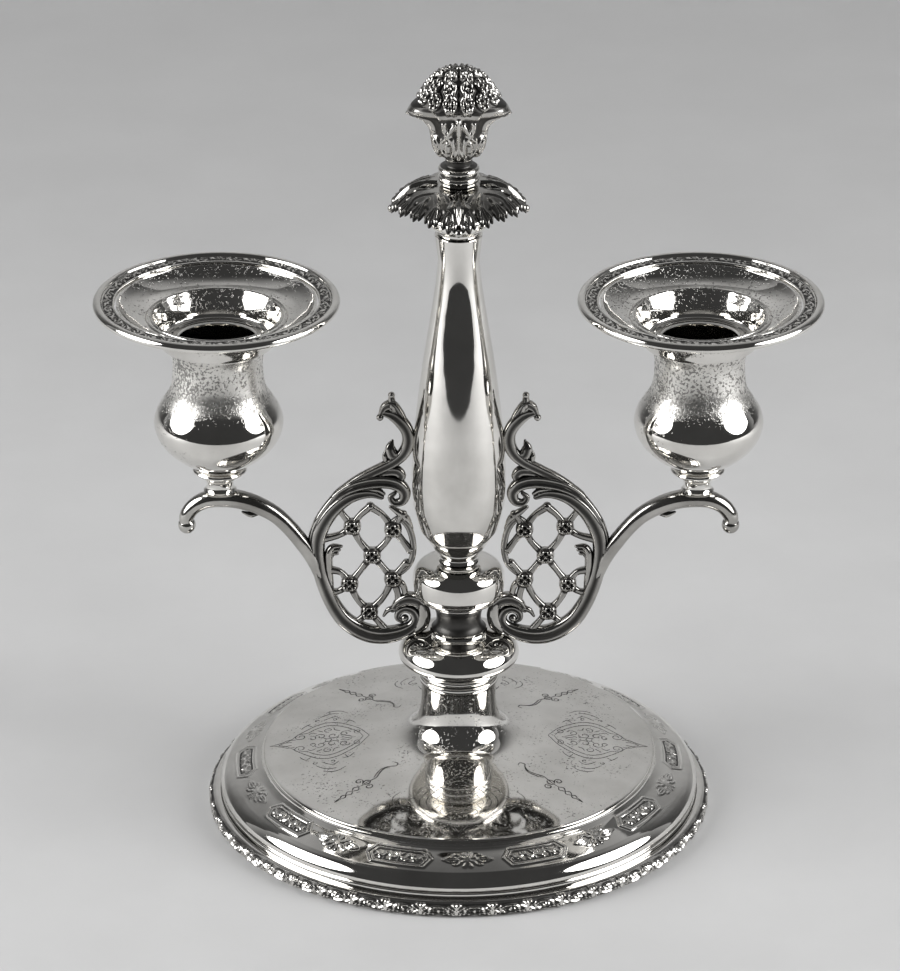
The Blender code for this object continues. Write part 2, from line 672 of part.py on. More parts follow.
def lattice_outline():
    """The lattice's edge: a clearance inside the C scroll, then down its own small scroll."""
    clear = (FRAME_RADIUS + SEAM_GAP) / MM
    path = [(x / MM, (z - ARM_DATUM) / MM) for x, z in frame_path(1)]
    inside = []
    for before, here, after in zip(path, path[1:], path[2:]):
        along = Vector((after[0] - before[0], after[1] - before[1])).normalized()
        point = Vector(here) + clear * Vector((along.y, -along.x))
        if point.x > 19.8 and (not inside or (point - inside[-1]).length > 0.8):
            inside.append(point)
    inner_scroll = [(19.4, 3.2), (18.0, 10.0), (18.0, 13.0), (14.6, 17.6), (12.9, 22.6),
                    (12.5, 27.6), (13.9, 32.6), (17.0, 35.6), (18.6, 38.2)]
    return [tuple(p) for p in inside] + inner_scroll


def make_lattice(side_name, side):
    """A pierced panel with rosettes where its bars cross."""
    curve = bpy.data.curves.new("lattice", "CURVE")
    curve.dimensions = "2D"
    curve.fill_mode = "BOTH"
    curve.extrude = LATTICE_THICKNESS / 2
    outlines = [lattice_outline()] + [superellipse(*opening) for opening in LATTICE_OPENINGS]
    for outline in outlines:
        spline = curve.splines.new("POLY")
        spline.points.add(len(outline) - 1)
        spline.use_cyclic_u = True
        for point, (x, z) in zip(spline.points, outline):
            point.co = (side * x * MM, ARM_DATUM + z * MM, 0.0, 1.0)
    source = add_object("lattice_outline", curve, None, CUTTERS)
    source.rotation_euler.x = math.pi / 2
    bpy.context.view_layer.update()
    evaluated = source.evaluated_get(bpy.context.evaluated_depsgraph_get())
    mesh = bpy.data.meshes.new_from_object(evaluated)
    mesh.transform(source.matrix_world)
    bpy.data.objects.remove(source)
    work = bmesh.new()
    work.from_mesh(mesh)
    bmesh.ops.remove_doubles(work, verts=work.verts, dist=0.00001)
    bmesh.ops.recalc_face_normals(work, faces=work.faces)
    work.to_mesh(mesh)
    work.free()
    panel = add_object(f"lattice_{side_name}", mesh, SILVER)
    rosettes = bpy.data.meshes.new("rosettes")
    work = bmesh.new()
    for x, z in ROSETTES:
        made = bmesh.ops.create_cone(work, cap_ends=True, segments=8, radius1=ROSETTE_RADIUS,
                                     radius2=ROSETTE_RADIUS, depth=ROSETTE_THICKNESS)
        for vert in made["verts"]:
            vert.co = Vector((side * x * MM + vert.co.x, vert.co.z, ARM_DATUM + z * MM + vert.co.y))
    bmesh.ops.recalc_face_normals(work, faces=work.faces)
    work.to_mesh(rosettes)
    work.free()
    bosses = mark_cutter(add_object(f"{side_name}_rosettes", rosettes, None, CUTTERS))
    add_boolean(panel, bosses, "UNION")


# ---------------------------------------------------------------- cups and nozzles

def make_pedestal(side_name, side):
    bottom, high = PEDESTAL_BOTTOM, PEDESTAL_HEIGHT
    bore = CUP_SCREW_RADIUS + SEAM_GAP
    profile = [
        (SAUCER_RADIUS * 0.8, bottom + high),
        (SAUCER_RADIUS, bottom + high * 0.86),
        (SAUCER_RADIUS * 0.92, bottom + high * 0.72),
        (PEDESTAL_WAIST + 1.2 * MM, bottom + high * 0.5),
        (PEDESTAL_WAIST, bottom + high * 0.26),
        (PEDESTAL_WAIST + 0.7 * MM, bottom),
        (bore, bottom),
        (bore, bottom + high),
    ]
    turned(f"pedestal_{side_name}", profile, SILVER, STEPS_SMALL, at_x=side * ARM_REACH)


def make_cup(side_name, side):
    """A vase-shaped cup whose neck holds the nozzle's sleeve."""
    bottom, top, neck = CUP_BOTTOM, CUP_TOP, CUP_NECK_RADIUS
    belly = CUP_BELLY_RADIUS
    belly_high = bottom + CUP_HEIGHT * 0.36
    profile = [
        (CUP_MOUTH_RADIUS, top),
        (CUP_MOUTH_RADIUS, top - 0.6 * MM),
        (CUP_MOUTH_RADIUS - 0.9 * MM, top - 2.4 * MM),
        (neck, top - 6.0 * MM),
        (neck + (belly - neck) * 0.22, belly_high + CUP_HEIGHT * 0.25),
        (neck + (belly - neck) * 0.70, belly_high + CUP_HEIGHT * 0.13),
        (belly, belly_high),
        (belly * 0.95, belly_high - CUP_HEIGHT * 0.10),
        (belly * 0.82, belly_high - CUP_HEIGHT * 0.20),
        (belly * 0.56, bottom + CUP_HEIGHT * 0.05),
        (SAUCER_RADIUS * 0.9, bottom),
        (CUP_SCREW_RADIUS + SEAM_GAP, bottom),
    ]
    turned(f"cup_{side_name}", profile, SILVER, STEPS_NARROW, wall=CUP_WALL,
           at_x=side * ARM_REACH)


def make_cup_screw(side_name, side, hole_bottom):
    """Holds the cup and its pedestal down on the branch."""
    head_bottom = CUP_BOTTOM + CUP_WALL + SEAM_GAP
    head_top = head_bottom + 1.6 * MM
    tip = hole_bottom + SEAM_GAP
    profile = [
        (0.0, head_top), (CUP_SCREW_HEAD_RADIUS, head_top), (CUP_SCREW_HEAD_RADIUS, head_bottom),
        (CUP_SCREW_RADIUS, head_bottom), (CUP_SCREW_RADIUS, tip), (0.0, tip),
    ]
    turned(f"cup_screw_{side_name}", profile, STEEL, 12, at_x=side * ARM_REACH)


def make_nozzle(side_name, side):
    """A drip pan that funnels down to a sleeve, open at the top for the candle.

    Its section starts and ends on the axis, above and below the sleeve's floor.
    """
    seat = NOZZLE_SEAT
    inner_edge = PAN_RADIUS - PAN_BORDER_WIDTH - SEAM_GAP
    wall = SHEET
    funnel = CUP_MOUTH_RADIUS + 1.6 * MM
    sleeve_bottom = seat - SLEEVE_DEPTH
    under = [
        (inner_edge, PAN_TOP - 1.6 * MM),
        (inner_edge - 5.0 * MM, PAN_TOP - 4.6 * MM),
        (funnel + 2.8 * MM, seat + 6.4 * MM),
        (funnel + 0.8 * MM, seat + 3.4 * MM),
        (funnel, seat),
        (SLEEVE_RADIUS, seat),
        (SLEEVE_RADIUS, sleeve_bottom),
        (0.0, sleeve_bottom),
    ]
    over = [
        (0.0, sleeve_bottom + wall),
        (SLEEVE_BORE_RADIUS, sleeve_bottom + wall),
        (SLEEVE_BORE_RADIUS, seat + wall),
        (funnel - wall, seat + wall),
        (funnel + 0.1 * MM, seat + 3.8 * MM),
        (funnel + 2.4 * MM, seat + 7.4 * MM),
        (inner_edge - 5.4 * MM, PAN_TOP - 3.8 * MM),
        (inner_edge, PAN_TOP - 0.6 * MM),
    ]
    turned(f"nozzle_{side_name}", over + under, SILVER, STEPS_NARROW, at_x=side * ARM_REACH)
    rim = PAN_RIM_RADIUS
    centre = PAN_RADIUS - rim
    band_inner = PAN_RADIUS - PAN_BORDER_WIDTH
    border = [
        (band_inner, PAN_TOP - 0.5 * MM),
        (centre - rim * 0.9, PAN_TOP - 0.2 * MM),
        (centre - rim * 0.5, PAN_TOP + rim * 0.6),
        (centre + rim * 0.5, PAN_TOP + rim * 0.6),
        (centre + rim, PAN_TOP - rim * 0.3),
        (centre + rim * 0.5, PAN_TOP - rim * 1.2),
        (centre - rim * 0.5, PAN_TOP - rim * 1.2),
        (band_inner, PAN_TOP - 1.5 * MM),
    ]
    turned(f"pan_border_{side_name}", border, SILVER, STEPS_WIDE, at_x=side * ARM_REACH)


# ---------------------------------------------------------------- assembly

for old in list(bpy.data.objects):
    bpy.data.objects.remove(old)

PARTS = new_collection("candelabra")
CUTTERS = new_collection("cutters")

SILVER = make_material("silver", (0.80, 0.79, 0.77), 0.16, 1.0)
STEEL = make_material("steel", (0.42, 0.42, 0.43), 0.35, 1.0)
BRASS = make_material("brass", (0.72, 0.55, 0.28), 0.35, 1.0)
PITCH = make_material("pitch", (0.05, 0.045, 0.04), 0.8, 0.0)
FELT = make_material("felt", (0.05, 0.12, 0.08), 0.95, 0.0)

make_base_shell()
make_foot_wire()
rod_pocket_top = make_base_fill()
make_base_bottom()
make_tie_rod(rod_pocket_top)
make_collar()
make_lower_knop()
make_spool()
make_ball_knop()
make_stem_foot()
make_stem()
make_neck_ring()
make_calyx()
make_finial()
for side_label, side_sign in SIDES.items():
    screw_hole_bottom = make_arm(side_label, side_sign)
    make_lattice(side_label, side_sign)
    make_pedestal(side_label, side_sign)
    make_cup(side_label, side_sign)
    make_cup_screw(side_label, side_sign, screw_hole_bottom)
    make_nozzle(side_label, side_sign)
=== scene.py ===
"""Looks of the silver candelabra: spun, cast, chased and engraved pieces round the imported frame.

Profiles and drawings are in millimetres. Each piece takes its place from its frame node's box.
"""

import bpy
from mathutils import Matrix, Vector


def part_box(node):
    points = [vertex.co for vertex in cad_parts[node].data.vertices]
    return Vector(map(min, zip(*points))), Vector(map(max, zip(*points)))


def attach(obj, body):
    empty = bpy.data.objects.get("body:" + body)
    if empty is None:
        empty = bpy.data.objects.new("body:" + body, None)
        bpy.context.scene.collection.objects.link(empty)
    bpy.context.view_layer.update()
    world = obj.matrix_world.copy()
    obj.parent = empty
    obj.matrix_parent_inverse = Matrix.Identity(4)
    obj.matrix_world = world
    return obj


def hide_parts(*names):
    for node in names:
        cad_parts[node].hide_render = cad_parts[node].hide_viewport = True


bl_info = {
    "name": "Silver candelabra",
    "version": (1, 0, 0),
    "blender": (4, 5, 0),
    "location": "3D View > Sidebar > Candelabra",
    "description": "Builds a two-light silver candelabra and its studio round a packed frame",
    "category": "Object",
}

import math

import bmesh
import bpy
import numpy as np
from mathutils import Vector
from mathutils.bvhtree import BVHTree

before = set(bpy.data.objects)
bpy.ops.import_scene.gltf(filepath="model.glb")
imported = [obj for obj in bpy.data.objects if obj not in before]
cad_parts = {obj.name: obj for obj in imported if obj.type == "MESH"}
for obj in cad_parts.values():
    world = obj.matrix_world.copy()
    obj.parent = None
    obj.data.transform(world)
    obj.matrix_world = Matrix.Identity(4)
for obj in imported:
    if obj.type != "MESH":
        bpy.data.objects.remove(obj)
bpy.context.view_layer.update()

MM = 0.001
SIDES = {"left": -1, "right": 1}
FRONT = math.radians(-90.0)    # the angle round the column that points to the front

# Sizes that several pieces share, in millimetres.
SHEET, CUP_SHEET = 0.8, 0.75   # thickness of the spun silver
SEAM = 0.3                     # between two pieces that touch
ROD_HOLE, SCREW_HOLE = 2.35, 1.5    # radii of the holes for the tie rod and the cup screws


# ---------------------------------------------------------------- frame and drawing helpers

def node_box(node):
    """Centre x, outer radius, bottom and top of a frame node, in millimetres."""
    low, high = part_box(node)
    return ((low.x + high.x) / 2 / MM, (high.x - low.x) / 2 / MM, low.z / MM, high.z / MM)


def fitted(profile, node):
    """A profile of (radius, height) moved and stretched onto a node's own box."""
    points = np.array(profile, float)
    _, radius, bottom, top = node_box(node)
    lowest, highest = points[:, 1].min(), points[:, 1].max()
    points[:, 0] *= radius / points[:, 0].max()
    points[:, 1] = bottom + (points[:, 1] - lowest) * (top - bottom) / (highest - lowest)
    return points


def smooth(points, samples):
    """A curve through the points, samples to each span."""
    points = np.array(points, float)
    before = np.vstack([2 * points[0] - points[1], points, 2 * points[-1] - points[-2]])
    share = np.linspace(0.0, 1.0, samples, endpoint=False)[:, None]
    spans = []
    for a, b, c, d in zip(before, before[1:], before[2:], before[3:]):
        spans.append(0.5 * (2 * b + (c - a) * share + (2 * a - 5 * b + 4 * c - d) * share ** 2
                            + (3 * b - a - 3 * c + d) * share ** 3))
    return np.vstack([*spans, points[-1:]])


def evenly(points, count):
    """The same curve with count points at even distances."""
    points = np.array(points, float)
    length = np.concatenate([[0], np.cumsum(np.linalg.norm(np.diff(points, axis=0), axis=1))])
    at = np.linspace(0, length[-1], count)
    return np.column_stack([np.interp(at, length, points[:, k]) for k in range(points.shape[1])])


def section_normals(points):
    """Unit normals of a profile that runs down its outer side."""
    along = np.gradient(points, axis=0)
    normals = np.column_stack([-along[:, 1], along[:, 0]])
    return normals / np.maximum(np.linalg.norm(normals, axis=1, keepdims=True), 1e-9)


def curl(x, y, radius, start, turns, count=14, shrink=0.75):
    """A spiral line that winds in towards (x, y). Angles in degrees, turns signed."""
    share = np.linspace(0, 1, count)
    angle = math.radians(start) + math.tau * turns * share
    reach = radius * (1 - shrink * share)
    return np.column_stack([x + reach * np.cos(angle), y + reach * np.sin(angle)])


def mirrored(lines, across=1):
    """The lines and their mirror images, with the coordinate across negated."""
    flip = np.array([-1.0, 1.0] if across == 0 else [1.0, -1.0])
    return [np.array(line, float) for line in lines] + [np.array(line, float) * flip
                                                        for line in lines]


def nearest(u, v, lines):
    """Distance from each point (u, v) to the nearest of the lines."""
    best = np.full(np.broadcast(u, v).shape, 99.0)
    for line in lines:
        for (x0, y0), (x1, y1) in zip(line, line[1:]):
            dx, dy = x1 - x0, y1 - y0
            share = np.clip(((u - x0) * dx + (v - y0) * dy) / max(dx * dx + dy * dy, 1e-9), 0, 1)
            best = np.minimum(best, np.hypot(u - x0 - share * dx, v - y0 - share * dy))
    return best


def ridge(distance, width):
    """1 on a line, falling off to 0 over about twice the width."""
    return np.exp(-(distance / width) ** 2)


def step(value, low, high):
    """0 below low, 1 above high, smooth between."""
    share = np.clip((value - low) / (high - low), 0, 1)
    return share * share * (3 - 2 * share)


def around(theta, repeats, start=0.0):
    """The angle from the nearest of evenly spaced motifs, the first of them at start."""
    period = math.tau / repeats
    return (theta - start + period / 2) % period - period / 2


# ---------------------------------------------------------------- meshes

class Metal:
    """Vertices, faces and surface marks of one piece while it is being shaped, in mm."""

    def __init__(self):
        self.points, self.faces, self.recess, self.pits = [], [], [], []
        self.count = 0

    def add(self, points, faces, recess=None, pits=None):
        """Adds a shell, with how far each vertex is sunk and how pitted it is, from 0 to 1."""
        points = np.asarray(points, float).reshape(-1, 3)
        zeros = np.zeros(len(points))
        self.points.append(points)
        self.recess.append(zeros if recess is None else np.asarray(recess, float).ravel())
        self.pits.append(zeros if pits is None else np.asarray(pits, float).ravel())
        self.faces += [[index + self.count for index in face] for face in faces]
        self.count += len(points)

    def mirror_x(self):
        """Turns a right-hand piece into a left-hand one."""
        self.points = [points * (-1, 1, 1) for points in self.points]

    def object(self, name, material, sharp=42.0):
        """A closed, outward-facing mesh object with its surface marks as attributes."""
        mesh = bpy.data.meshes.new(name)
        mesh.from_pydata((np.vstack(self.points) * MM).tolist(), [], self.faces)
        for label, values in (("recess", self.recess), ("pits", self.pits)):
            mesh.attributes.new(label, "FLOAT", "POINT").data.foreach_set(
                "value", np.concatenate(values).astype(np.float32))
        work = bmesh.new()
        work.from_mesh(mesh)
        bmesh.ops.recalc_face_normals(work, faces=work.faces)
        work.to_mesh(mesh)
        work.free()
        mesh.shade_smooth()
        mesh.set_sharp_from_angle(angle=math.radians(sharp))
        mesh.materials.append(material)
        piece = bpy.data.objects.new(name, mesh)
        bpy.context.scene.collection.objects.link(piece)
        return piece


def turn(metal, bands, centre_x=0.0, closed=True):
    """Bands of (profile, columns, relief, pits) turned round a vertical axis into one skin.

    relief(theta, radius, height) gives the height of the chasing and how deep it lies in
    recesses. A profile point on the axis becomes one vertex. The last ring joins the first
    when the section is closed.
    """
    rings, points, recess, pits = [], [], [], []
    total = 0
    for profile, columns, relief, pit_map in bands:
        profile = np.array(profile, float)
        normals = section_normals(profile)
        theta = np.arange(columns) * math.tau / columns
        radius, height = profile[:, :1], profile[:, 1:]
        rise, hollow = (relief(theta[None, :], radius, height) if relief
                        else (np.zeros((len(profile), columns)),) * 2)
        reach = radius + normals[:, :1] * rise
        level = height + normals[:, 1:] * rise
        speck = (pit_map(theta[None, :], radius, height) if pit_map else 0.0) + np.zeros_like(reach)
        for row in range(len(profile)):
            on_axis = profile[row, 0] < 1e-6
            columns_here = 1 if on_axis else columns
            angle = theta[:columns_here]
            points.append(np.column_stack([centre_x + reach[row, :columns_here] * np.cos(angle),
                                           reach[row, :columns_here] * np.sin(angle),
                                           level[row, :columns_here]]))
            recess.append(hollow[row, :columns_here])
            pits.append(speck[row, :columns_here])
            rings.append((total, columns_here))
            total += columns_here
    pairs = list(zip(rings, rings[1:]))
    if closed and rings[0][1] > 1 and rings[-1][1] > 1:
        pairs.append((rings[-1], rings[0]))
    faces = []
    for (first, many), (second, others) in pairs:
        faces += joined_rings(first, many, second, others)
    metal.add(np.vstack(points), faces, np.concatenate(recess), np.concatenate(pits))


def joined_rings(first, many, second, others):
    """Faces between two rings of vertices, which may differ by a whole factor."""
    if many == 1:
        return [[first, second + i, second + (i + 1) % others] for i in range(others)]
    if others == 1:
        return [[first + i, second, first + (i + 1) % many] for i in range(many)]
    if many == others:
        return [[first + i, second + i, second + (i + 1) % many, first + (i + 1) % many]
                for i in range(many)]
    if many > others:
        return [face[::-1] for face in joined_rings(second, others, first, many)]
    ratio = others // many
    return [[first + i, *(second + (i * ratio + k) % others for k in range(ratio + 1)),
             first + (i + 1) % many] for i in range(many)]


def sheet_section(profile, wall, inner_points=14):
    """The inner side of a spun sheet, as a profile that runs back up inside it."""
    points = evenly(profile, inner_points)
    return (points - section_normals(points) * wall)[::-1]


def sweep(metal, path, widths, depth=1.0, sides=16, groove=0.0, y=0.0):
    """A bar along a path of (x, z), its half width in the path's plane given along it.

    depth is its half thickness across the plane as a share of the half width, or a list along
    the path. groove sinks a channel along the middle of its front and back faces.
    """
    path = np.array(path, float)
    widths = np.interp(np.linspace(0, 1, len(path)), np.linspace(0, 1, len(np.atleast_1d(widths))),
                       np.atleast_1d(widths))
    depths = widths * np.interp(np.linspace(0, 1, len(path)),
                                np.linspace(0, 1, len(np.atleast_1d(depth))), np.atleast_1d(depth))
    along = np.gradient(path, axis=0)
    along /= np.maximum(np.linalg.norm(along, axis=1, keepdims=True), 1e-9)
    normal = np.column_stack([-along[:, 1], along[:, 0]])
    cap = np.radians([80.0, 55.0, 28.0])
    stations = [(path[0] - along[0] * widths[0] * math.sin(a), normal[0], widths[0] * math.cos(a),
                 depths[0] * math.cos(a)) for a in cap]
    stations += list(zip(path, normal, widths, depths))
    stations += [(path[-1] + along[-1] * widths[-1] * math.sin(a), normal[-1],
                  widths[-1] * math.cos(a), depths[-1] * math.cos(a)) for a in cap[::-1]]
    angle = np.arange(sides) * math.tau / sides
    across, out = np.cos(angle), np.sin(angle)
    channel = 1.0 - groove * np.exp(-(across / 0.42) ** 2)
    shade = np.exp(-(across / 0.5) ** 2) * min(0.55, 1.5 * groove)
    points = [(path[0][0] - along[0][0] * widths[0], y, path[0][1] - along[0][1] * widths[0])]
    marks = [0.0]
    for place, side, width, thick in stations:
        ring = np.column_stack([place[0] + side[0] * width * across, y + thick * out * channel,
                                place[1] + side[1] * width * across])
        points += [tuple(p) for p in ring]
        marks += shade.tolist()
    marks.append(0.0)
    points.append((path[-1][0] + along[-1][0] * widths[-1], y,
                   path[-1][1] + along[-1][1] * widths[-1]))
    faces = joined_rings(0, 1, 1, sides)
    for i in range(len(stations) - 1):
        faces += joined_rings(1 + i * sides, sides, 1 + (i + 1) * sides, sides)
    faces += joined_rings(1 + (len(stations) - 1) * sides, sides, len(points) - 1, 1)
    metal.add(points, faces, marks)


def ball(metal, centre, radius, columns=20):
    """A ball round a point (x, y, z)."""
    rows = [(radius * math.sin(a), radius * math.cos(a)) for a in np.linspace(0, math.pi, 11)]
    rows[0], rows[-1] = (0.0, radius), (0.0, -radius)
    part = Metal()
    turn(part, [(rows, columns, None, None)], closed=False)
    metal.add(part.points[0] + np.array(centre), part.faces)


def blade(metal, spine, half_width, angle, lobes=5, lobe_depth=0.3, vein=0.35, thick=0.8, cup=0.8,
          rows=44, columns=25):
    """A chased leaf on a spine of (radius, height), turned to stand at an angle round z.

    Its edge is cut into lobes, each with a raised vein, and it hangs down at its sides by cup.
    """
    spine = evenly(smooth(spine, 8), rows)
    normals = section_normals(spine)
    share = np.linspace(0, 1, rows)[:, None]
    across = np.linspace(-1, 1, columns)[None, :]
    width = np.interp(share[:, 0], np.linspace(0, 1, len(half_width)), half_width)[:, None]
    wave = 0.5 + 0.5 * np.cos(math.tau * (lobes * share - 0.5))
    edge = 1 - lobe_depth * (1 - wave ** 0.6)
    tangent = across * width * (1 - (1 - edge) * np.abs(across) ** 1.5)
    fans = np.cos(math.tau * (lobes * (share - 0.10 * np.abs(across)) - 0.5)) * np.abs(across)
    midrib = 1.3 * ridge(across, 0.11) - 0.9 * ridge(np.abs(across) - 0.24, 0.1)
    rise = vein * (fans * 0.8 + midrib * (1 - 0.6 * share))
    rise = rise - cup * across ** 2 * np.sin(math.pi * np.clip(share * 0.9 + 0.1, 0, 1))
    ends = np.minimum(1, np.minimum(share, 1 - share) / 0.06 + 0.25)
    tops = []
    for offset in (0.0, -thick):
        lift = rise + offset * np.sqrt(np.clip(1.02 - across ** 2, 0, 1)) * ends
        reach = spine[:, :1] + normals[:, :1] * lift
        level = spine[:, 1:] + normals[:, 1:] * lift
        tops.append(np.stack([reach * np.cos(angle) - tangent * np.sin(angle),
                              reach * np.sin(angle) + tangent * np.cos(angle),
                              np.broadcast_to(level, reach.shape)], axis=-1).reshape(-1, 3))
    faces = []
    size = rows * columns
    for i in range(rows - 1):
        for j in range(columns - 1):
            a, b = i * columns + j, i * columns + j + 1
            c, d = b + columns, a + columns
            faces.append([a, b, c, d])
            faces.append([size + d, size + c, size + b, size + a])
    rim = ([j for j in range(columns)] + [(i + 1) * columns - 1 for i in range(1, rows)]
           + [(rows - 1) * columns + j for j in range(columns - 2, -1, -1)]
           + [i * columns for i in range(rows - 2, 0, -1)])
    for a, b in zip(rim, rim[1:] + rim[:1]):
        faces.append([b, a, size + a, size + b])
    metal.add(np.vstack(tops), faces)


def darken_recesses(piece, reach=2.2, gain=1.5):
    """Marks how closed in each vertex is, by short rays over its hemisphere."""
    mesh = piece.data
    tree = BVHTree.FromPolygons([v.co for v in mesh.vertices], [p.vertices for p in mesh.polygons])
    spread = [(0.0, 0.0, 1.0)]
    for tilt, number, shift in ((35, 5, 0.0), (65, 7, 0.5)):
        for k in range(number):
            turned = math.tau * (k + shift) / number
            spread.append((math.sin(math.radians(tilt)) * math.cos(turned),
                           math.sin(math.radians(tilt)) * math.sin(turned),
                           math.cos(math.radians(tilt))))
    values = np.zeros(len(mesh.vertices), np.float32)
    mesh.attributes["recess"].data.foreach_get("value", values)
    for vertex in mesh.vertices:
        normal = vertex.normal
        side = normal.orthogonal().normalized()
        other = normal.cross(side)
        start = vertex.co + normal * 0.06 * MM
        hits = 0
        for a, b, c in spread:
            if tree.ray_cast(start, side * a + other * b + normal * c, reach * MM)[0] is not None:
                hits += 1
        values[vertex.index] = max(values[vertex.index], min(1.0, gain * hits / len(spread)))
    mesh.attributes["recess"].data.foreach_set("value", values)


# ---------------------------------------------------------------- materials

MIX_FIRST, MIX_SECOND = 6, 7    # the two colour inputs of a Mix node


def linear(colour):
    """Linear red, green, blue and alpha of an sRGB hex colour."""
    channels = [int(colour[i:i + 2], 16) / 255 for i in (1, 3, 5)]
    return (*(c / 12.92 if c <= 0.04045 else ((c + 0.055) / 1.055) ** 2.4 for c in channels), 1.0)


def add_node(tree, kind, settings=None, links=None):
    """Adds a node, sets its properties and inputs, and links the rest. Inputs go by name or place."""
    node = tree.nodes.new(kind)
    for key, value in (settings or {}).items():
        if isinstance(key, int) or key in node.inputs:
            node.inputs[key].default_value = value
        else:
            setattr(node, key, value)
    for key, source in (links or {}).items():
        tree.links.new(source, node.inputs[key])
    return node


def new_material(name):
    """A node material with its tree and its shader."""
    material = bpy.data.materials.new(name)
    material.use_nodes = True
    tree = material.node_tree
    return material, tree, tree.nodes["Principled BSDF"]


def silver_material(name, polish, clean, film, film_share, recess_from, grain_mm):
    """Sterling silver: a near-white metal whose grooves keep black silver sulphide.

    polish is the roughness of a clean high spot. A thin uneven tarnish film greys and dulls it
    in soft patches, hand polishing leaves fine hairlines, and old corrosion leaves small dark
    pits and a matt ground where the pits mark allows them.
    """
    material, tree, shader = new_material(name)
    finish = bpy.context.scene.candelabra_finish
    place = add_node(tree, "ShaderNodeTexCoord").outputs["Object"]
    recess = add_node(tree, "ShaderNodeAttribute", {"attribute_name": "recess"}).outputs["Fac"]
    pits = add_node(tree, "ShaderNodeAttribute", {"attribute_name": "pits"}).outputs["Fac"]
    clouds = add_node(tree, "ShaderNodeTexNoise", {"Scale": 1 / (16 * MM), "Detail": 4.0,
                                                   "Roughness": 0.55}, {"Vector": place})
    # Pits are about 0.3 mm across and lie closer together where the metal is worse.
    specks = add_node(tree, "ShaderNodeTexNoise", {"Scale": 1 / (0.75 * MM), "Detail": 2.0,
                                                   "Roughness": 0.6}, {"Vector": place})
    drifts = add_node(tree, "ShaderNodeTexNoise", {"Scale": 1 / (6 * MM), "Detail": 2.0},
                      {"Vector": place})
    spread = add_node(tree, "ShaderNodeMath", {"operation": "MULTIPLY_ADD", 1: 0.30},
                      {0: drifts.outputs["Fac"], 2: specks.outputs["Fac"]})
    pit_level = add_node(tree, "ShaderNodeMath", {"operation": "MULTIPLY_ADD", 1: 0.16},
                         {0: pits, 2: spread.outputs[0]})
    pit_spot = add_node(tree, "ShaderNodeMapRange", {"From Min": 0.83, "From Max": 0.90,
                                                     "interpolation_type": "SMOOTHSTEP"},
                        {"Value": pit_level.outputs[0]})
    worse = add_node(tree, "ShaderNodeMapRange", {"From Max": 0.35}, {"Value": pits})
    pit_mask = add_node(tree, "ShaderNodeMath", {"operation": "MULTIPLY", "use_clamp": True},
                        {0: pit_spot.outputs[0], 1: worse.outputs[0]})
    pit_shade = add_node(tree, "ShaderNodeMath", {"operation": "MULTIPLY", 1: finish.pitting},
                         {0: pit_mask.outputs[0]})
    patina = add_node(tree, "ShaderNodeMapRange",
                      {"From Min": recess_from, "From Max": recess_from + 0.45,
                       "To Max": finish.patina, "interpolation_type": "SMOOTHSTEP"},
                      {"Value": recess})
    haze = add_node(tree, "ShaderNodeMapRange", {"From Min": 0.34, "From Max": 0.70,
                                                 "To Max": film_share},
                    {"Value": clouds.outputs["Fac"]})
    # Clean metal, then the film, the pits and the oxide over it.
    ground = add_node(tree, "ShaderNodeMix", {"data_type": "RGBA", MIX_FIRST: (*clean, 1.0),
                                              MIX_SECOND: (*film, 1.0)}, {0: haze.outputs[0]})
    worn = add_node(tree, "ShaderNodeMix", {"data_type": "RGBA", MIX_SECOND: linear("#5E5C59")},
                    {0: pit_shade.outputs[0], MIX_FIRST: ground.outputs[2]})
    aged = add_node(tree, "ShaderNodeMix", {"data_type": "RGBA",
                                            MIX_SECOND: (*finish.oxide, 1.0)},
                    {0: patina.outputs[0], MIX_FIRST: worn.outputs[2]})
    dull = add_node(tree, "ShaderNodeMath", {"operation": "ADD", "use_clamp": True},
                    {0: patina.outputs[0], 1: pit_shade.outputs[0]})
    # Etched metal round the pits scatters light: matt where pits fills in.
    etched = add_node(tree, "ShaderNodeMapRange", {"From Min": 0.45, "From Max": 1.0,
                                                   "To Min": polish, "To Max": polish + 0.24},
                      {"Value": pits})
    rough = add_node(tree, "ShaderNodeMapRange", {"To Max": 0.42},
                     {"Value": dull.outputs[0], "To Min": etched.outputs[0]})
    # Hairlines are microns wide on the metal. They are drawn about 0.1 mm apart, to show.
    hairs = add_node(tree, "ShaderNodeMapping",
                     {"Scale": (1 / (grain_mm * MM), 1 / (grain_mm * MM), 1 / (grain_mm * 6 * MM))},
                     {"Vector": place})
    scratch = add_node(tree, "ShaderNodeTexNoise", {"Scale": 1.0, "Detail": 2.0},
                       {"Vector": hairs.outputs[0]})
    dents = add_node(tree, "ShaderNodeTexNoise", {"Scale": 1 / (9 * MM), "Detail": 1.0},
                     {"Vector": place})
    uneven = add_node(tree, "ShaderNodeBump", {"Strength": 0.10, "Distance": 0.35 * MM},
                      {"Height": dents.outputs["Fac"]})
    fine = add_node(tree, "ShaderNodeBump", {"Strength": 0.05, "Distance": 0.012 * MM},
                    {"Height": scratch.outputs["Fac"], "Normal": uneven.outputs[0]})
    sunk = add_node(tree, "ShaderNodeBump", {"Strength": 0.6, "Distance": 0.06 * MM,
                                             "invert": True},
                    {"Height": pit_mask.outputs[0], "Normal": fine.outputs[0]})
    shader.inputs["Metallic"].default_value = 1.0
    tree.links.new(aged.outputs[2], shader.inputs["Base Color"])
    tree.links.new(rough.outputs[0], shader.inputs["Roughness"])
    tree.links.new(sunk.outputs[0], shader.inputs["Normal"])
    return material


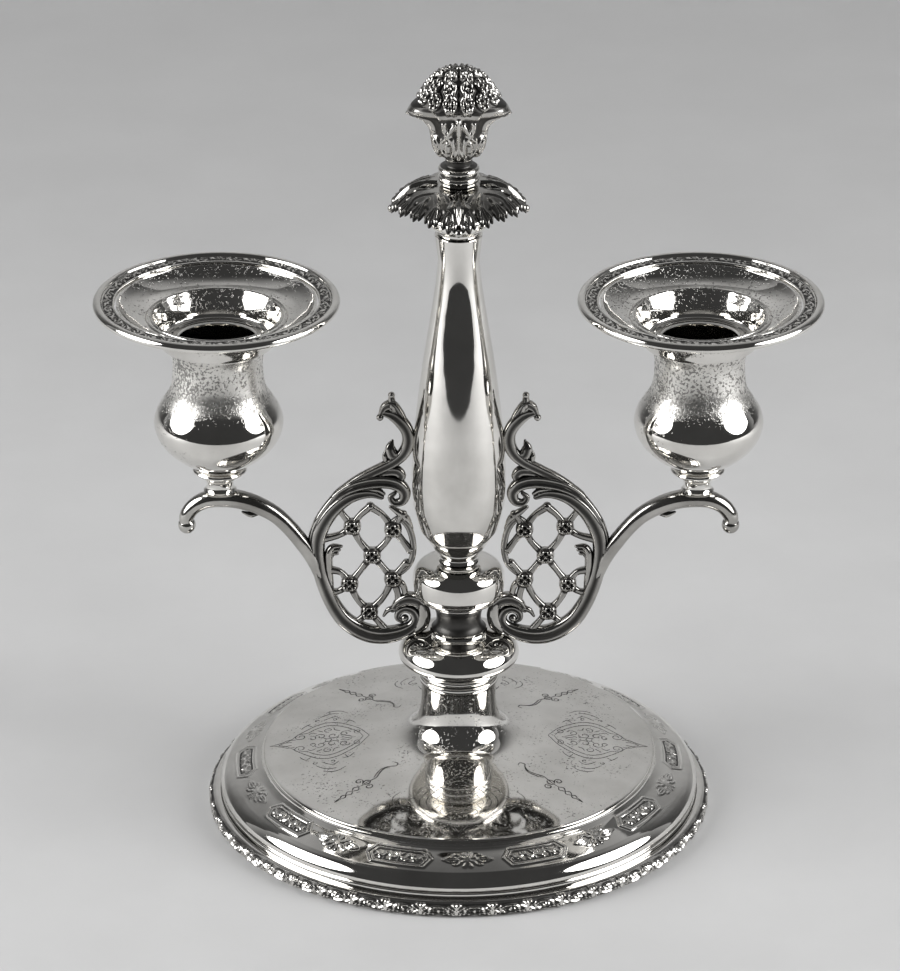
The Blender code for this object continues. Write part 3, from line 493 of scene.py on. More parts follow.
def spun_silver():
    """Sheet spun over a former and hand polished: mirror bright, with a faint film."""
    finish = bpy.context.scene.candelabra_finish
    return silver_material("spun_sterling_silver", 0.05, finish.silver, finish.tarnish, 0.5,
                           0.30, 0.10)


def cast_silver():
    """Sand castings, chased and oxidised: grey on the swells, black in the hollows."""
    finish = bpy.context.scene.candelabra_finish
    return silver_material("cast_oxidised_silver", 0.12, finish.cast, finish.cast_tarnish, 0.8,
                           0.10, 0.12)


def cut_silver_material():
    """Engraved cuts: bright tool walls with black oxide along the bottom, read as dark lines."""
    material, tree, shader = new_material("engraved_oxidised_cuts")
    place = add_node(tree, "ShaderNodeTexCoord").outputs["Object"]
    # The oxide breaks up along a cut every millimetre or so.
    broken = add_node(tree, "ShaderNodeTexNoise", {"Scale": 1 / (1.3 * MM), "Detail": 3.0},
                      {"Vector": place})
    share = add_node(tree, "ShaderNodeMapRange", {"From Min": 0.45, "From Max": 0.68},
                     {"Value": broken.outputs["Fac"]})
    mix = add_node(tree, "ShaderNodeMix", {"data_type": "RGBA", MIX_FIRST: linear("#3B3A38"),
                                           MIX_SECOND: linear("#8E8C88")}, {0: share.outputs[0]})
    tree.links.new(mix.outputs[2], shader.inputs["Base Color"])
    shader.inputs["Metallic"].default_value = 1.0
    shader.inputs["Roughness"].default_value = 0.38
    return material


def mottled_material(name, shades, spot_mm, rough, metallic, bump_mm, bump_strength=0.4):
    """A finish whose linear colour drifts between two shades in spots of a real size."""
    material, tree, shader = new_material(name)
    place = add_node(tree, "ShaderNodeTexCoord").outputs["Object"]
    spots = add_node(tree, "ShaderNodeTexNoise", {"Scale": 1 / (spot_mm * MM), "Detail": 6.0,
                                                  "Roughness": 0.65}, {"Vector": place})
    share = add_node(tree, "ShaderNodeMapRange", {"From Min": 0.35, "From Max": 0.65},
                     {"Value": spots.outputs["Fac"]})
    mix = add_node(tree, "ShaderNodeMix", {"data_type": "RGBA", MIX_FIRST: shades[0],
                                           MIX_SECOND: shades[1]}, {0: share.outputs[0]})
    gloss = add_node(tree, "ShaderNodeMapRange", {"To Min": rough * 0.85, "To Max": rough * 1.15},
                     {"Value": share.outputs[0]})
    grain = add_node(tree, "ShaderNodeTexNoise", {"Scale": 1 / (bump_mm * MM), "Detail": 4.0},
                     {"Vector": place})
    relief = add_node(tree, "ShaderNodeBump", {"Strength": bump_strength,
                                               "Distance": bump_mm * 0.3 * MM},
                      {"Height": grain.outputs["Fac"]})
    shader.inputs["Metallic"].default_value = metallic
    tree.links.new(mix.outputs[2], shader.inputs["Base Color"])
    tree.links.new(gloss.outputs[0], shader.inputs["Roughness"])
    tree.links.new(relief.outputs[0], shader.inputs["Normal"])
    return material


def kept(name, maker):
    """The material of that name, made once."""
    return bpy.data.materials.get(name) or maker()


def place_piece(metal, name, body, slot, material, *nodes, sharp=42.0):
    """Makes the piece, rides it on its body and lets it stand for its frame nodes."""
    piece = metal.object(name, material, sharp)
    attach(piece, body)
    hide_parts(*nodes)
    return piece


# ---------------------------------------------------------------- chased ornament

def floret_lines():
    """An eight-petal flower between two long pointed leaves, about 14 mm long."""
    petals = [[(0.75 * math.cos(a), 0.75 * math.sin(a)), (2.15 * math.cos(a), 2.15 * math.sin(a))]
              for a in np.arange(8) * math.tau / 8 + math.tau / 16]
    leaf = smooth([(2.6, 0.0), (3.9, 0.75), (5.4, 0.62), (6.9, 0.0)], 4)
    rib = [(2.8, 0.0), (6.3, 0.0)]
    small = smooth([(2.2, 1.3), (3.2, 1.7), (3.9, 1.5)], 3)
    leaves = mirrored([leaf, small])
    return petals, leaves + [line * (-1, 1) for line in leaves] + mirrored([rib], 0)


def cartouche_lines():
    """A long hexagon with a double outline and foliage inside, about 18.8 mm long."""
    outer = [(-9.4, 0), (-7.4, 2.75), (7.4, 2.75), (9.4, 0), (7.4, -2.75), (-7.4, -2.75), (-9.4, 0)]
    inner = [(-8.1, 0), (-6.7, 1.95), (6.7, 1.95), (8.1, 0), (6.7, -1.95), (-6.7, -1.95), (-8.1, 0)]
    stem = smooth([(0.2, 0.0), (1.6, 0.7), (3.2, -0.5), (4.8, 0.5), (6.6, 0.0)], 4)
    sprigs = [curl(2.0, 0.9, 0.7, 200, 0.8), curl(3.7, -0.9, 0.65, 150, -0.8),
              curl(5.2, 0.85, 0.55, 200, 0.8), [(6.0, 0.1), (6.9, 0.6)], [(6.0, 0.0), (6.9, -0.6)],
              [(0.0, 0.3), (0.0, 1.4)], [(0.0, -0.3), (0.0, -1.4)], [(0.5, -0.5), (1.3, -1.3)],
              [(2.4, -0.2), (2.9, -1.3)], [(4.3, 0.2), (4.2, 1.3)]]
    foliage = [stem, *[np.array(line, float) for line in sprigs]]
    return [outer, inner], foliage + [line * (-1, 1) for line in foliage]


BORDER_MIDDLE = 62.0    # radius of the line that the cartouches and florets lie on
DRAWN_RELIEF = 0.42     # height of the chasing as it is drawn, before the Relief setting


def border_relief(theta, radius, height):
    """Cartouches alternating with as many florets, chased low on the foot's sloping border."""
    settings = bpy.context.scene.candelabra_foot
    count = settings.motifs
    v = radius - BORDER_MIDDLE
    start = FRONT + math.radians(2.3)
    rise = np.zeros(np.broadcast(theta, radius).shape)
    hollow = np.zeros_like(rise)
    u = around(theta, count, start) * BORDER_MIDDLE
    petals, leaves = floret_lines()
    near = np.abs(u) < 7.6
    petal = ridge(nearest(u, v, petals), 0.42) + 0.9 * ridge(np.hypot(u, v), 0.5)
    leaf = ridge(nearest(u, v, leaves), 0.22)
    body = np.clip(petal + 0.8 * leaf, 0, 1) * near
    skirt = step(-np.minimum(nearest(u, v, petals), nearest(u, v, leaves)), -0.80, -0.30) * near
    rise += body * DRAWN_RELIEF
    hollow += skirt * (1 - body) * 0.62
    u = around(theta, count, start + math.pi / count) * BORDER_MIDDLE
    outlines, foliage = cartouche_lines()
    frame_line = ridge(nearest(u, v, outlines[:1]), 0.26)
    inner_line = ridge(nearest(u, v, outlines[1:]), 0.18)
    growth = ridge(nearest(u, v, foliage), 0.24)
    inside = step(7.9 - np.abs(u) - np.abs(v) * 0.72, 0, 0.4) * step(2.1 - np.abs(v), 0, 0.3)
    rise += np.maximum(frame_line, 0.7 * inner_line) * 0.34 + inside * (growth * 0.42 - 0.12)
    ground = inside * (1 - growth) + (step(-nearest(u, v, outlines), -0.7, -0.3)
                                      * (1 - frame_line) * (1 - inner_line))
    hollow += ground * 0.50
    return rise * settings.relief / (DRAWN_RELIEF * MM), np.clip(hollow, 0, 1)


def foot_wire_relief(theta, radius, height):
    """Stamped wire: ovals joined by crossed links, with a sprig over each crossing."""
    _, foot, bottom, top = node_box("foot_wire")
    repeats = bpy.context.scene.candelabra_foot.wire_repeats
    u = around(theta, repeats, math.radians(265.5)) * foot
    v = height - (bottom + top) / 2 + 0.1
    half = math.tau * foot / repeats / 2
    turns = np.linspace(0, math.tau, 17)
    oval = np.column_stack([2.7 * np.cos(turns), 1.15 * np.sin(turns)])
    marks = [[(-1.2, 0.0), (-0.5, 0.0)], [(0.5, 0.0), (1.2, 0.0)], [(0.0, -0.35), (0.0, 0.35)]]
    cross = [smooth([(2.9, 1.0), (half - 0.9, 0.35), (half, 0.0)], 3),
             smooth([(2.9, -1.0), (half - 0.9, -0.35), (half, 0.0)], 3)]
    sprig = [[(half, 0.5), (half, 1.5)], [(half - 0.2, 0.9), (half - 1.0, 1.5)],
             [(half, -0.5), (half, -1.4)], [(half - 0.2, -0.9), (half - 1.0, -1.3)]]
    lines = [oval, *marks] + cross + sprig
    lines += [np.array(line, float) * (-1, 1) for line in cross + sprig]
    body = np.maximum(ridge(nearest(u, v, lines), 0.36),
                      0.75 * ridge(nearest(u, v, marks), 0.42))
    outer = step(radius, foot - 1.3, foot - 0.7)
    return (body - 0.35) * 0.62 * outer, (1 - body) * 0.95 * outer


def pan_relief(theta, radius, height):
    """Scrolls, leaves and small flowers on the flat band inside a drip pan's rolled rim."""
    repeats, middle = 20, 30.6
    u = around(theta, repeats, 0.0) * middle
    v = radius - middle
    half = math.tau * middle / (2 * repeats)
    scroll = smooth([(-half, 0.2), (-half + 1.2, 0.95), (-1.4, 0.2), (0.0, -0.9), (1.4, -0.2),
                     (half - 1.2, 0.7), (half, 0.2)], 4)
    lines = [scroll, curl(-2.1, -0.25, 0.75, 60, 0.9), curl(2.2, 0.35, 0.7, 240, 0.9),
             [(-0.5, 0.2), (0.1, 1.1)], [(0.4, 0.1), (1.0, 1.0)], [(half - 1.0, -0.2), (half, -1.1)],
             [(-half + 1.0, 0.0), (-half, -1.1)], [(-3.2, -0.2), (-3.0, -1.1)]]
    body = ridge(nearest(u, v, lines), 0.27)
    band = step(v, -1.55, -1.3) * step(-v, -1.5, -1.25)
    return (body - 0.25) * 0.40 * band, (1 - body) * 0.95 * band


def bud_relief(theta, radius, height):
    """The finial bud: ribs and curled leaves on the cup, packed flower heads on the dome."""
    _, _, bottom, top = node_box("finial_bud")
    level = height - bottom
    rim = 15.0
    u = around(theta, 4, FRONT) * np.maximum(radius, 4.0)
    v = level
    rib = [[(0.0, 1.6), (0.0, 14.6)]]
    foot = [[(-1.5, 1.4), (-0.2, 4.8)], [(1.5, 1.4), (0.2, 4.8)]]
    leaf = [smooth([(1.6, 2.6), (1.5, 5.4), (2.3, 8.0), (3.9, 10.2), (4.3, 12.6)], 4),
            smooth([(3.1, 2.9), (4.7, 4.4), (4.9, 6.8), (3.5, 8.3), (2.4, 10.4), (1.3, 12.4)], 4),
            smooth([(3.1, 4.2), (3.5, 5.6), (3.0, 6.8)], 3)]
    lower = np.maximum(ridge(nearest(u, v, rib), 0.75), ridge(nearest(u, v, foot), 0.7))
    lower = np.maximum(lower, ridge(nearest(np.abs(u), v, leaf), 0.85))
    below = step(rim - level, 0.3, 1.6) * step(level, 0.4, 1.6)
    rise = below * (lower * 1.15 - 0.35)
    hollow = below * step(1 - lower, 0.45, 0.95) * 0.8
    # Rings of heads: (distance down the dome from its top, how many, turn, size).
    heads = [(0.0, 1, 0.0, 2.3), (4.5, 6, 0.5, 2.6), (8.5, 10, 0.5, 2.7), (12.3, 13, 0.5, 2.8)]
    bumps = np.zeros_like(rise)
    down = np.hypot(radius, top - height)
    for place, number, shift, size in heads:
        apart = around(theta, number, FRONT + shift * math.tau / number) * radius * 1.1
        off = down - place
        if number == 1:    # the one on the very top
            apart, off = 0 * apart, off * 0.9
        distance = np.hypot(apart, off)
        spoke = np.cos(6 * np.arctan2(off, apart) + number)
        head = step(size - distance, 0.0, 0.9) * (0.78 + 0.22 * spoke * step(distance, 0.3, 1.0))
        head = head - 0.5 * ridge(distance - 0.85, 0.3) + 0.3 * ridge(distance, 0.45)
        bumps = np.maximum(bumps, head)
    above = step(level, rim + 0.2, rim + 1.2)
    rise += above * (bumps * 1.25 - 0.55)
    hollow += above * (1 - step(bumps, 0.15, 0.6))
    return rise, np.clip(hollow, 0, 1)


def reeds(theta, radius, height):
    """Plain reeding is in the profile. This darkens the grooves between the reeds."""
    depth = np.max(radius) - radius
    return np.zeros(np.broadcast(theta, radius).shape), step(depth, 0.35, 0.9) + 0 * theta


# ---------------------------------------------------------------- engraved ornament

def medallion_lines():
    """One medallion of the well: (distance out, distance across) with strapwork and scrolls."""
    half = [
        smooth([(26.0, 0.0), (27.2, 2.2), (29.0, 5.2), (31.8, 8.0), (35.0, 10.4), (38.0, 11.2),
                (41.0, 10.4), (44.0, 8.0), (46.6, 5.4), (48.8, 2.6), (50.2, 1.2)], 4),
        smooth([(27.8, 0.0), (29.0, 2.6), (31.4, 5.4), (34.6, 8.0), (38.0, 9.3), (41.4, 8.0),
                (44.0, 5.8), (45.6, 5.6)], 4),
        curl(46.0, 3.6, 2.0, 110, -1.4), curl(29.4, 3.4, 1.3, 250, 1.2),
        smooth([(47.6, 2.2), (49.6, 2.4), (51.4, 1.3), (53.2, 0.5), (55.0, 0.0)], 4),
        smooth([(48.6, 0.9), (50.6, 1.0), (52.4, 0.0)], 3),
        smooth([(32.5, 16.6), (34.6, 18.5), (37.0, 18.9), (39.0, 18.1)], 3),
        smooth([(35.2, 16.9), (37.4, 17.2), (39.6, 16.2), (41.2, 14.7)], 3),
        smooth([(34.6, 13.4), (36.2, 14.9), (38.0, 14.2), (39.6, 12.9)], 3),
        curl(36.4, 13.0, 0.9, 60, 0.9), curl(41.6, 13.2, 0.8, 200, -0.9),
        smooth([(30.2, 9.4), (31.6, 11.2), (33.6, 11.9)], 3),
        smooth([(43.4, 11.6), (45.0, 10.2), (46.0, 8.8)], 3),
        [(42.9, 9.8), (44.3, 11.0)], [(33.0, 9.9), (32.0, 11.4)],
        # The flower and leaves in the middle.
        curl(36.6, 2.4, 1.8, 180, 1.1), curl(40.2, 2.6, 1.7, 0, 1.1),
        curl(33.2, 3.0, 1.5, 120, -1.1), curl(37.9, 6.2, 1.5, 270, 1.1),
        smooth([(31.0, 0.6), (32.6, 1.4), (34.4, 0.6)], 3), curl(42.6, 2.0, 1.2, 90, 1.0),
        smooth([(34.6, 5.2), (36.0, 5.8), (36.4, 7.2)], 3), [(39.6, 5.4), (41.2, 6.6)],
        [(31.4, 3.6), (32.4, 4.6)], smooth([(41.4, 4.6), (42.8, 5.4), (43.8, 4.6)], 3),
        [(38.4, 0.7), (39.4, 1.5)], [(35.6, 0.4), (34.8, 1.2)],
    ]
    return mirrored(half) + [np.array([(30.0, 0.0), (34.0, 0.0)]), curl(37.9, 0.0, 1.0, 0, 1.0,
                                                                      shrink=0.2)]


def husk_lines():
    """A drop of husks between two curls, under a hook."""
    half = [
        curl(38.4, 2.0, 1.25, 200, -1.15), smooth([(38.6, 0.3), (37.6, 1.2), (37.2, 2.0)], 3),
        smooth([(40.4, 0.0), (41.6, 0.9), (43.0, 0.1)], 3),
        smooth([(43.0, 0.0), (44.2, 0.85), (45.6, 0.1)], 3),
        smooth([(45.6, 0.0), (46.6, 0.7), (47.8, 0.1)], 3), [(47.8, 0.3), (50.2, 0.0)],
        smooth([(36.0, 0.2), (37.0, 0.9), (38.4, 0.5)], 3),
    ]
    hook = smooth([(25.2, -1.1), (24.9, 0.1), (26.2, 0.7), (27.4, -0.4), (29.6, -1.0), (32.0, -0.3),
                   (34.0, 0.5), (36.2, 0.2), (38.4, 0.0), (40.4, 0.0)], 4)
    second = smooth([(27.8, -0.9), (30.0, -1.5), (32.4, -0.9), (34.4, 0.0)], 4)
    return mirrored(half) + [hook, second]


def well_height(radius):
    """The plate round the trumpet is a very flat cone."""
    return np.interp(radius, [22.5, 56.3], [20.4, 16.0])


def engrave(metal, lines, angle, half_width):
    """Lays each line on the well as a narrow cut with a low burr, at an angle round the foot."""
    for line in lines:
        line = np.array(line, float)
        if len(line) < 3:
            line = evenly(line, 4)
        taper = np.sin(math.pi * np.linspace(0.08, 0.92, len(line))) ** 0.5
        along = np.gradient(line, axis=0)
        along /= np.maximum(np.linalg.norm(along, axis=1, keepdims=True), 1e-9)
        side = np.column_stack([-along[:, 1], along[:, 0]])
        rows = []
        for across, lift in ((-1, -0.05), (-0.45, 0.045), (0.45, 0.045), (1, -0.05), (0, -0.2)):
            place = line + side * (half_width * across * taper)[:, None]
            radius = np.hypot(place[:, 0], place[:, 1])
            turned = np.arctan2(place[:, 1], place[:, 0]) + angle
            rows.append(np.column_stack([radius * np.cos(turned), radius * np.sin(turned),
                                         well_height(radius) + lift]))
        points = np.stack(rows, axis=1).reshape(-1, 3)
        sides = len(rows)
        faces = [list(range(sides)), [len(points) - 1 - k for k in range(sides)]]
        for i in range(len(line) - 1):
            faces += [[i * sides + k, i * sides + (k + 1) % sides, (i + 1) * sides + (k + 1) % sides,
                       (i + 1) * sides + k] for k in range(sides)]
        metal.add(points, faces)


# ---------------------------------------------------------------- settings

class CandelabraFinish(bpy.types.PropertyGroup):
    silver: bpy.props.FloatVectorProperty(
        name="Silver", description="Colour of the clean metal", subtype="COLOR", size=3,
        min=0.0, max=1.0, default=linear("#F0EEEA")[:3])
    tarnish: bpy.props.FloatVectorProperty(
        name="Tarnish", description="Colour where a thin film has formed", subtype="COLOR", size=3,
        min=0.0, max=1.0, default=linear("#BDBBB6")[:3])
    oxide: bpy.props.FloatVectorProperty(
        name="Oxide", description="Colour of the oxide kept in the recesses", subtype="COLOR",
        size=3, min=0.0, max=1.0, default=linear("#2B2A29")[:3])
    cast: bpy.props.FloatVectorProperty(
        name="Cast silver", description="Colour of the rubbed high parts of the castings",
        subtype="COLOR", size=3, min=0.0, max=1.0, default=linear("#C4C2BE")[:3])
    cast_tarnish: bpy.props.FloatVectorProperty(
        name="Cast tarnish", description="Colour of the castings where they are not rubbed",
        subtype="COLOR", size=3, min=0.0, max=1.0, default=linear("#807E7A")[:3])
    patina: bpy.props.FloatProperty(
        name="Patina", description="How far oxide fills the recesses", subtype="FACTOR",
        min=0.0, max=1.0, default=0.92)
    pitting: bpy.props.FloatProperty(
        name="Pitting", description="How strongly old corrosion specks show", subtype="FACTOR",
        min=0.0, max=1.0, default=0.75)


class CandelabraFoot(bpy.types.PropertyGroup):
    motifs: bpy.props.IntProperty(
        name="Border motifs", description="Cartouches round the border, and as many florets",
        min=3, max=20, default=10)
    wire_repeats: bpy.props.IntProperty(
        name="Wire repeats", description="Ovals round the foot wire", min=12, max=90, default=45)
    relief: bpy.props.FloatProperty(
        name="Relief", description="Height of the chasing on the border", unit="LENGTH",
        min=0.0, max=0.001, precision=5, default=0.00026)
    cut: bpy.props.FloatProperty(
        name="Cut width", description="Width of an engraved line on the well", unit="LENGTH",
        min=0.0001, max=0.001, precision=5, default=0.0004)


class CandelabraArms(bpy.types.PropertyGroup):
    channel: bpy.props.FloatProperty(
        name="Channel", description="Depth of the channel along the scrolls", subtype="FACTOR",
        min=0.0, max=0.8, default=0.38)
    bar: bpy.props.FloatProperty(
        name="Lattice bar", description="Width of a lattice bar", unit="LENGTH",
        min=0.0005, max=0.003, precision=5, default=0.0019)


class CandelabraStudio(bpy.types.PropertyGroup):
    floor: bpy.props.FloatVectorProperty(
        name="Floor", description="Colour of the floor and the sweep behind", subtype="COLOR",
        size=3, min=0.0, max=1.0, default=linear("#D8D8D8")[:3])
    softbox_power: bpy.props.FloatProperty(
        name="Softbox power", description="Power of each softbox, in watts", min=0.0, max=200.0,
        default=11.8)
    room: bpy.props.FloatProperty(
        name="Room light", description="Brightness of the dark room round the set", min=0.0,
        max=1.0, default=0.045)


SETTINGS = {
    "candelabra_finish": CandelabraFinish,
    "candelabra_foot": CandelabraFoot,
    "candelabra_arms": CandelabraArms,
    "candelabra_studio": CandelabraStudio,
}


# ---------------------------------------------------------------- foot

def well_pits(theta, radius, height):
    """Corrosion specks in drifts on the well, thickest round the trumpet's foot."""
    drift = 0.5 + 0.5 * np.sin(3 * theta + 0.4) * np.cos(5 * theta - radius * 0.2)
    return 0.10 + 0.35 * drift * step(58.0 - radius, 0, 6) + 0 * height


def shape_foot(metal):
    """The spun foot: trumpet, engraved plate, stepped edge, chased slope, shoulder and lip."""
    trumpet = smooth([(10.8, 38.0), (10.75, 35.5), (10.85, 32.0), (11.3, 28.6), (12.4, 25.4),
                      (14.4, 22.9), (17.8, 21.2), (22.5, 20.4)], 6)
    plate = evenly([(23.5, well_height(23.5)), (55.6, well_height(55.6))], 16)
    edge = [(56.1, 16.05), (56.45, 15.9), (56.6, 15.6), (56.7, 15.3), (57.0, 15.25),
            (57.2, 15.35), (57.35, 15.1), (57.45, 14.7), (57.8, 14.5)]
    slope = evenly(smooth([(58.1, 14.35), (59.3, 13.75), (61.5, 12.85), (64.0, 11.75),
                           (66.0, 10.85)], 6), 38)
    shoulder = smooth([(66.2, 10.75), (67.6, 9.9), (68.8, 8.6), (69.35, 7.2), (69.2, 6.0)], 6)
    lip = [(69.1, 5.8), (69.25, 5.6), (69.3, 5.3), (69.3, 4.7), (69.25, 3.0), (69.3, 1.1)]
    outer = np.vstack([trumpet, plate, edge, slope, shoulder, lip])
    inner = sheet_section(outer, SHEET, 40)
    inner[0] = (68.5, 1.1)
    inner[-1] = (10.0, 38.0)
    turn(metal, [(trumpet, 180, None, well_pits), (plate, 180, None, well_pits),
                 (edge, 360, None, None), (slope, 1440, border_relief, None),
                 (shoulder, 360, None, None), (lip, 180, None, None), (inner, 180, None, None)])


def shape_foot_wire(metal):
    """The stamped wire round the foot, whose outer face carries the ornament."""
    _, foot, _, top = node_box("foot_wire")
    upper = [(foot - 3.15, top), (foot - 1.8, top), (foot - 1.5, top - 0.15)]
    face = evenly(smooth([(foot - 1.35, top - 0.25), (foot - 0.65, top - 0.5),
                          (foot - 0.3, top - 1.1), (foot - 0.15, 2.2), (foot - 0.3, 0.8),
                          (foot - 0.6, 0.35)], 6), 18)
    under = [(foot - 0.9, 0.0), (foot - 2.9, 0.0), (foot - 3.2, top - 0.4)]
    turn(metal, [(upper, 480, None, None), (face, 1440, foot_wire_relief, None),
                 (under, 480, None, None)])


class CANDELABRA_OT_foot(bpy.types.Operator):
    """Build the spun foot with its chased border, stamped wire and engraved well"""
    bl_idname = "candelabra.foot"
    bl_label = "Foot"

    def execute(self, context):
        settings = context.scene.candelabra_foot
        silver = kept("spun_sterling_silver", spun_silver)
        shell = Metal()
        shape_foot(shell)
        place_piece(shell, "foot_shell", "stand", "silver", silver, "base_shell", sharp=38)
        wire = Metal()
        shape_foot_wire(wire)
        place_piece(wire, "foot_wire_stamped", "stand", "silver", silver, "foot_wire")
        cuts = Metal()
        for k in range(4):
            engrave(cuts, medallion_lines(), k * math.pi / 2, settings.cut / MM / 2)
            # The husks are cut half as wide again.
            engrave(cuts, husk_lines(), (k + 0.5) * math.pi / 2, settings.cut / MM * 0.75)
        piece = cuts.object("well_engraving", kept("engraved_oxidised_cuts", cut_silver_material))
        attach(piece, "stand")
        return {"FINISHED"}


# ---------------------------------------------------------------- column

STEM = [(6.6, 81.3), (6.7, 82.0), (8.6, 84.0), (10.4, 87.0), (11.7, 91.0), (12.5, 97.0),
        (12.7, 104.0), (12.3, 112.0), (11.6, 120.0), (10.6, 129.0), (9.3, 139.0), (8.2, 146.0),
        (7.0, 153.6), (5.9, 161.0), (5.2, 166.0), (5.0, 171.0), (5.1, 175.0), (5.9, 177.3)]

TURNED_PIECES = {
    # node: (profile from the top down, wall or None for a solid casting)
    "reeded_collar": ([(10.9, 44.7), (11.4, 44.3), (11.5, 43.7), (11.3, 43.1), (10.6, 42.7),
                       (11.2, 42.3), (11.5, 41.6), (11.2, 40.9), (10.6, 40.5), (11.3, 40.1),
                       (11.5, 39.4), (11.3, 38.7), (10.9, 38.3)], None),
    "lower_knop": ([(8.3, 54.9), (8.7, 54.3), (9.8, 53.7), (11.6, 53.2), (13.7, 52.4),
                    (15.6, 51.1), (16.9, 49.4), (17.4, 47.7), (17.1, 46.4), (16.0, 45.5),
                    (13.6, 45.1), (11.0, 45.0)], SHEET),
    "spool": ([(8.4, 63.8), (8.5, 63.4), (8.2, 62.95), (7.5, 62.7), (7.6, 62.3), (7.3, 61.8),
               (6.7, 60.6), (6.4, 58.6), (6.6, 57.0), (7.3, 55.9), (8.2, 55.2)], None),
    "ball_knop": ([(5.7, 76.7), (8.0, 76.5), (10.2, 75.85), (11.9, 74.7), (12.95, 73.1),
                   (13.3, 71.3), (13.35, 69.4), (13.1, 67.6), (12.4, 66.1), (11.2, 64.9),
                   (9.7, 64.3), (8.6, 64.1)], SHEET),
    "stem_foot_ring": ([(5.9, 81.0), (6.3, 80.3), (6.3, 79.7), (5.7, 79.1), (5.3, 78.4),
                        (5.3, 77.8), (5.7, 77.0)], None),
    "stem_vase": (STEM, SHEET),
    "neck_ring": ([(6.6, 184.6), (7.6, 184.1), (8.3, 183.0), (8.5, 181.6), (8.2, 180.3),
                   (7.2, 179.4), (6.3, 178.9), (5.9, 177.6)], None),
}


def stem_pits(theta, radius, height):
    """Specks down the upper stem and in one long drift on its right."""
    right = ridge(around(theta, 1, math.radians(-35)), 0.5)
    return 0.7 * step(height, 150, 165) + 0.75 * right + 0.12


def shape_turned(metal, node):
    """One turned piece of the column, hollow sheet or a bored casting."""
    profile, wall = TURNED_PIECES[node]
    centre_x, _, bottom, top = node_box(node)
    outer = smooth(fitted(profile, node), 5)
    if wall:
        inner = sheet_section(outer, wall)
    else:
        inner = [(ROD_HOLE, bottom), (ROD_HOLE, top)]
    relief = reeds if node in ("reeded_collar", "spool") else None
    pits = stem_pits if node == "stem_vase" else None
    turn(metal, [(outer, 120, relief, pits), (inner, 60, None, None)], centre_x)


class CANDELABRA_OT_column(bpy.types.Operator):
    """Build the turned pieces of the column from the trumpet up to the neck ring"""
    bl_idname = "candelabra.column"
    bl_label = "Column"

    def execute(self, context):
        silver = kept("spun_sterling_silver", spun_silver)
        for node in TURNED_PIECES:
            metal = Metal()
            shape_turned(metal, node)
            place_piece(metal, f"{node}_polished", "stand", "silver", silver, node, sharp=50)
        return {"FINISHED"}


# ---------------------------------------------------------------- calyx and finial

def canopy(metal, top):
    """A thin drooping sheet whose edge is cut into the lobes of four broad acanthus leaves."""
    columns, rows = 720, 42
    hub, fork, tip = 5.6, 13.2, 18.6    # radii where the sheet starts and its veins fork and end
    theta = np.arange(columns) * math.tau / columns
    across = around(theta, 4, FRONT + math.pi / 4)
    outward = np.abs(across) / (math.pi / 4)
    # Five lobes to a leaf, each with three fine teeth.
    lobes = np.abs(np.cos(across * 10)) ** 0.5
    fine = np.abs(np.cos(across * 30))
    edge = 17.9 + 1.5 * outward ** 1.5 - 2.2 * (1 - lobes) - 0.8 * (1 - fine)
    share = np.linspace(0, 1, rows)[:, None] ** 0.85
    radius = hub + (edge[None, :] - hub) * share
    drop = np.interp(radius, [hub, 9.0, 12.0, 14.5, 16.4, 18.0, 19.4],
                     [0.0, 0.35, 1.2, 2.5, 4.1, 5.7, 7.4])
    x, y = radius * np.sin(across)[None, :], radius * np.cos(across)[None, :]
    veins = []
    for k in range(-2, 3):
        own = math.radians(18 * k)
        start = 6.0 + 3.0 * (2 - abs(k))
        for side in (-6.0, 0.0, 6.0):
            lean = math.radians(18 * k + side)
            veins.append(smooth([(0.0, start), (fork * math.sin(own), fork * math.cos(own)),
                                 (tip * math.sin(lean), tip * math.cos(lean))], 4))
    distance = nearest(x, y, veins)
    vein = ridge(distance, 0.42)
    eyes = np.zeros_like(radius)
    for lean, out in ((9, 14.6), (-9, 14.6), (27, 15.2), (-27, 15.2)):
        place = out * math.sin(math.radians(lean)), out * math.cos(math.radians(lean))
        eyes = np.maximum(eyes, ridge(np.hypot(x - place[0], y - place[1]), 0.55))
    depth = step(share, 0.12, 0.45)
    rise = depth * (0.5 * vein - 0.7 * eyes) + 0.9 * share ** 8 * lobes[None, :]
    hollow = depth * np.maximum(0.8 * eyes, step(distance, 0.45, 1.1) * 0.35)
    skins = []
    for height in (top - drop + rise, top - drop - SHEET):
        skins.append(np.stack([radius * np.cos(theta), radius * np.sin(theta),
                               height + 0 * radius], axis=-1).reshape(-1, 3))
    size = rows * columns
    faces = []
    for i in range(rows - 1):
        for j in range(columns):
            a, b = i * columns + j, i * columns + (j + 1) % columns
            faces.append([a, b, b + columns, a + columns])
            faces.append([size + a + columns, size + b + columns, size + b, size + a])
    for j in range(columns):
        a, b = j, (j + 1) % columns
        faces.append([b, a, size + a, size + b])
        a, b = a + size - columns, b + size - columns
        faces.append([a, b, size + b, size + a])
    metal.add(np.vstack(skins), faces, np.concatenate([hollow.ravel(), np.ones(size)]))


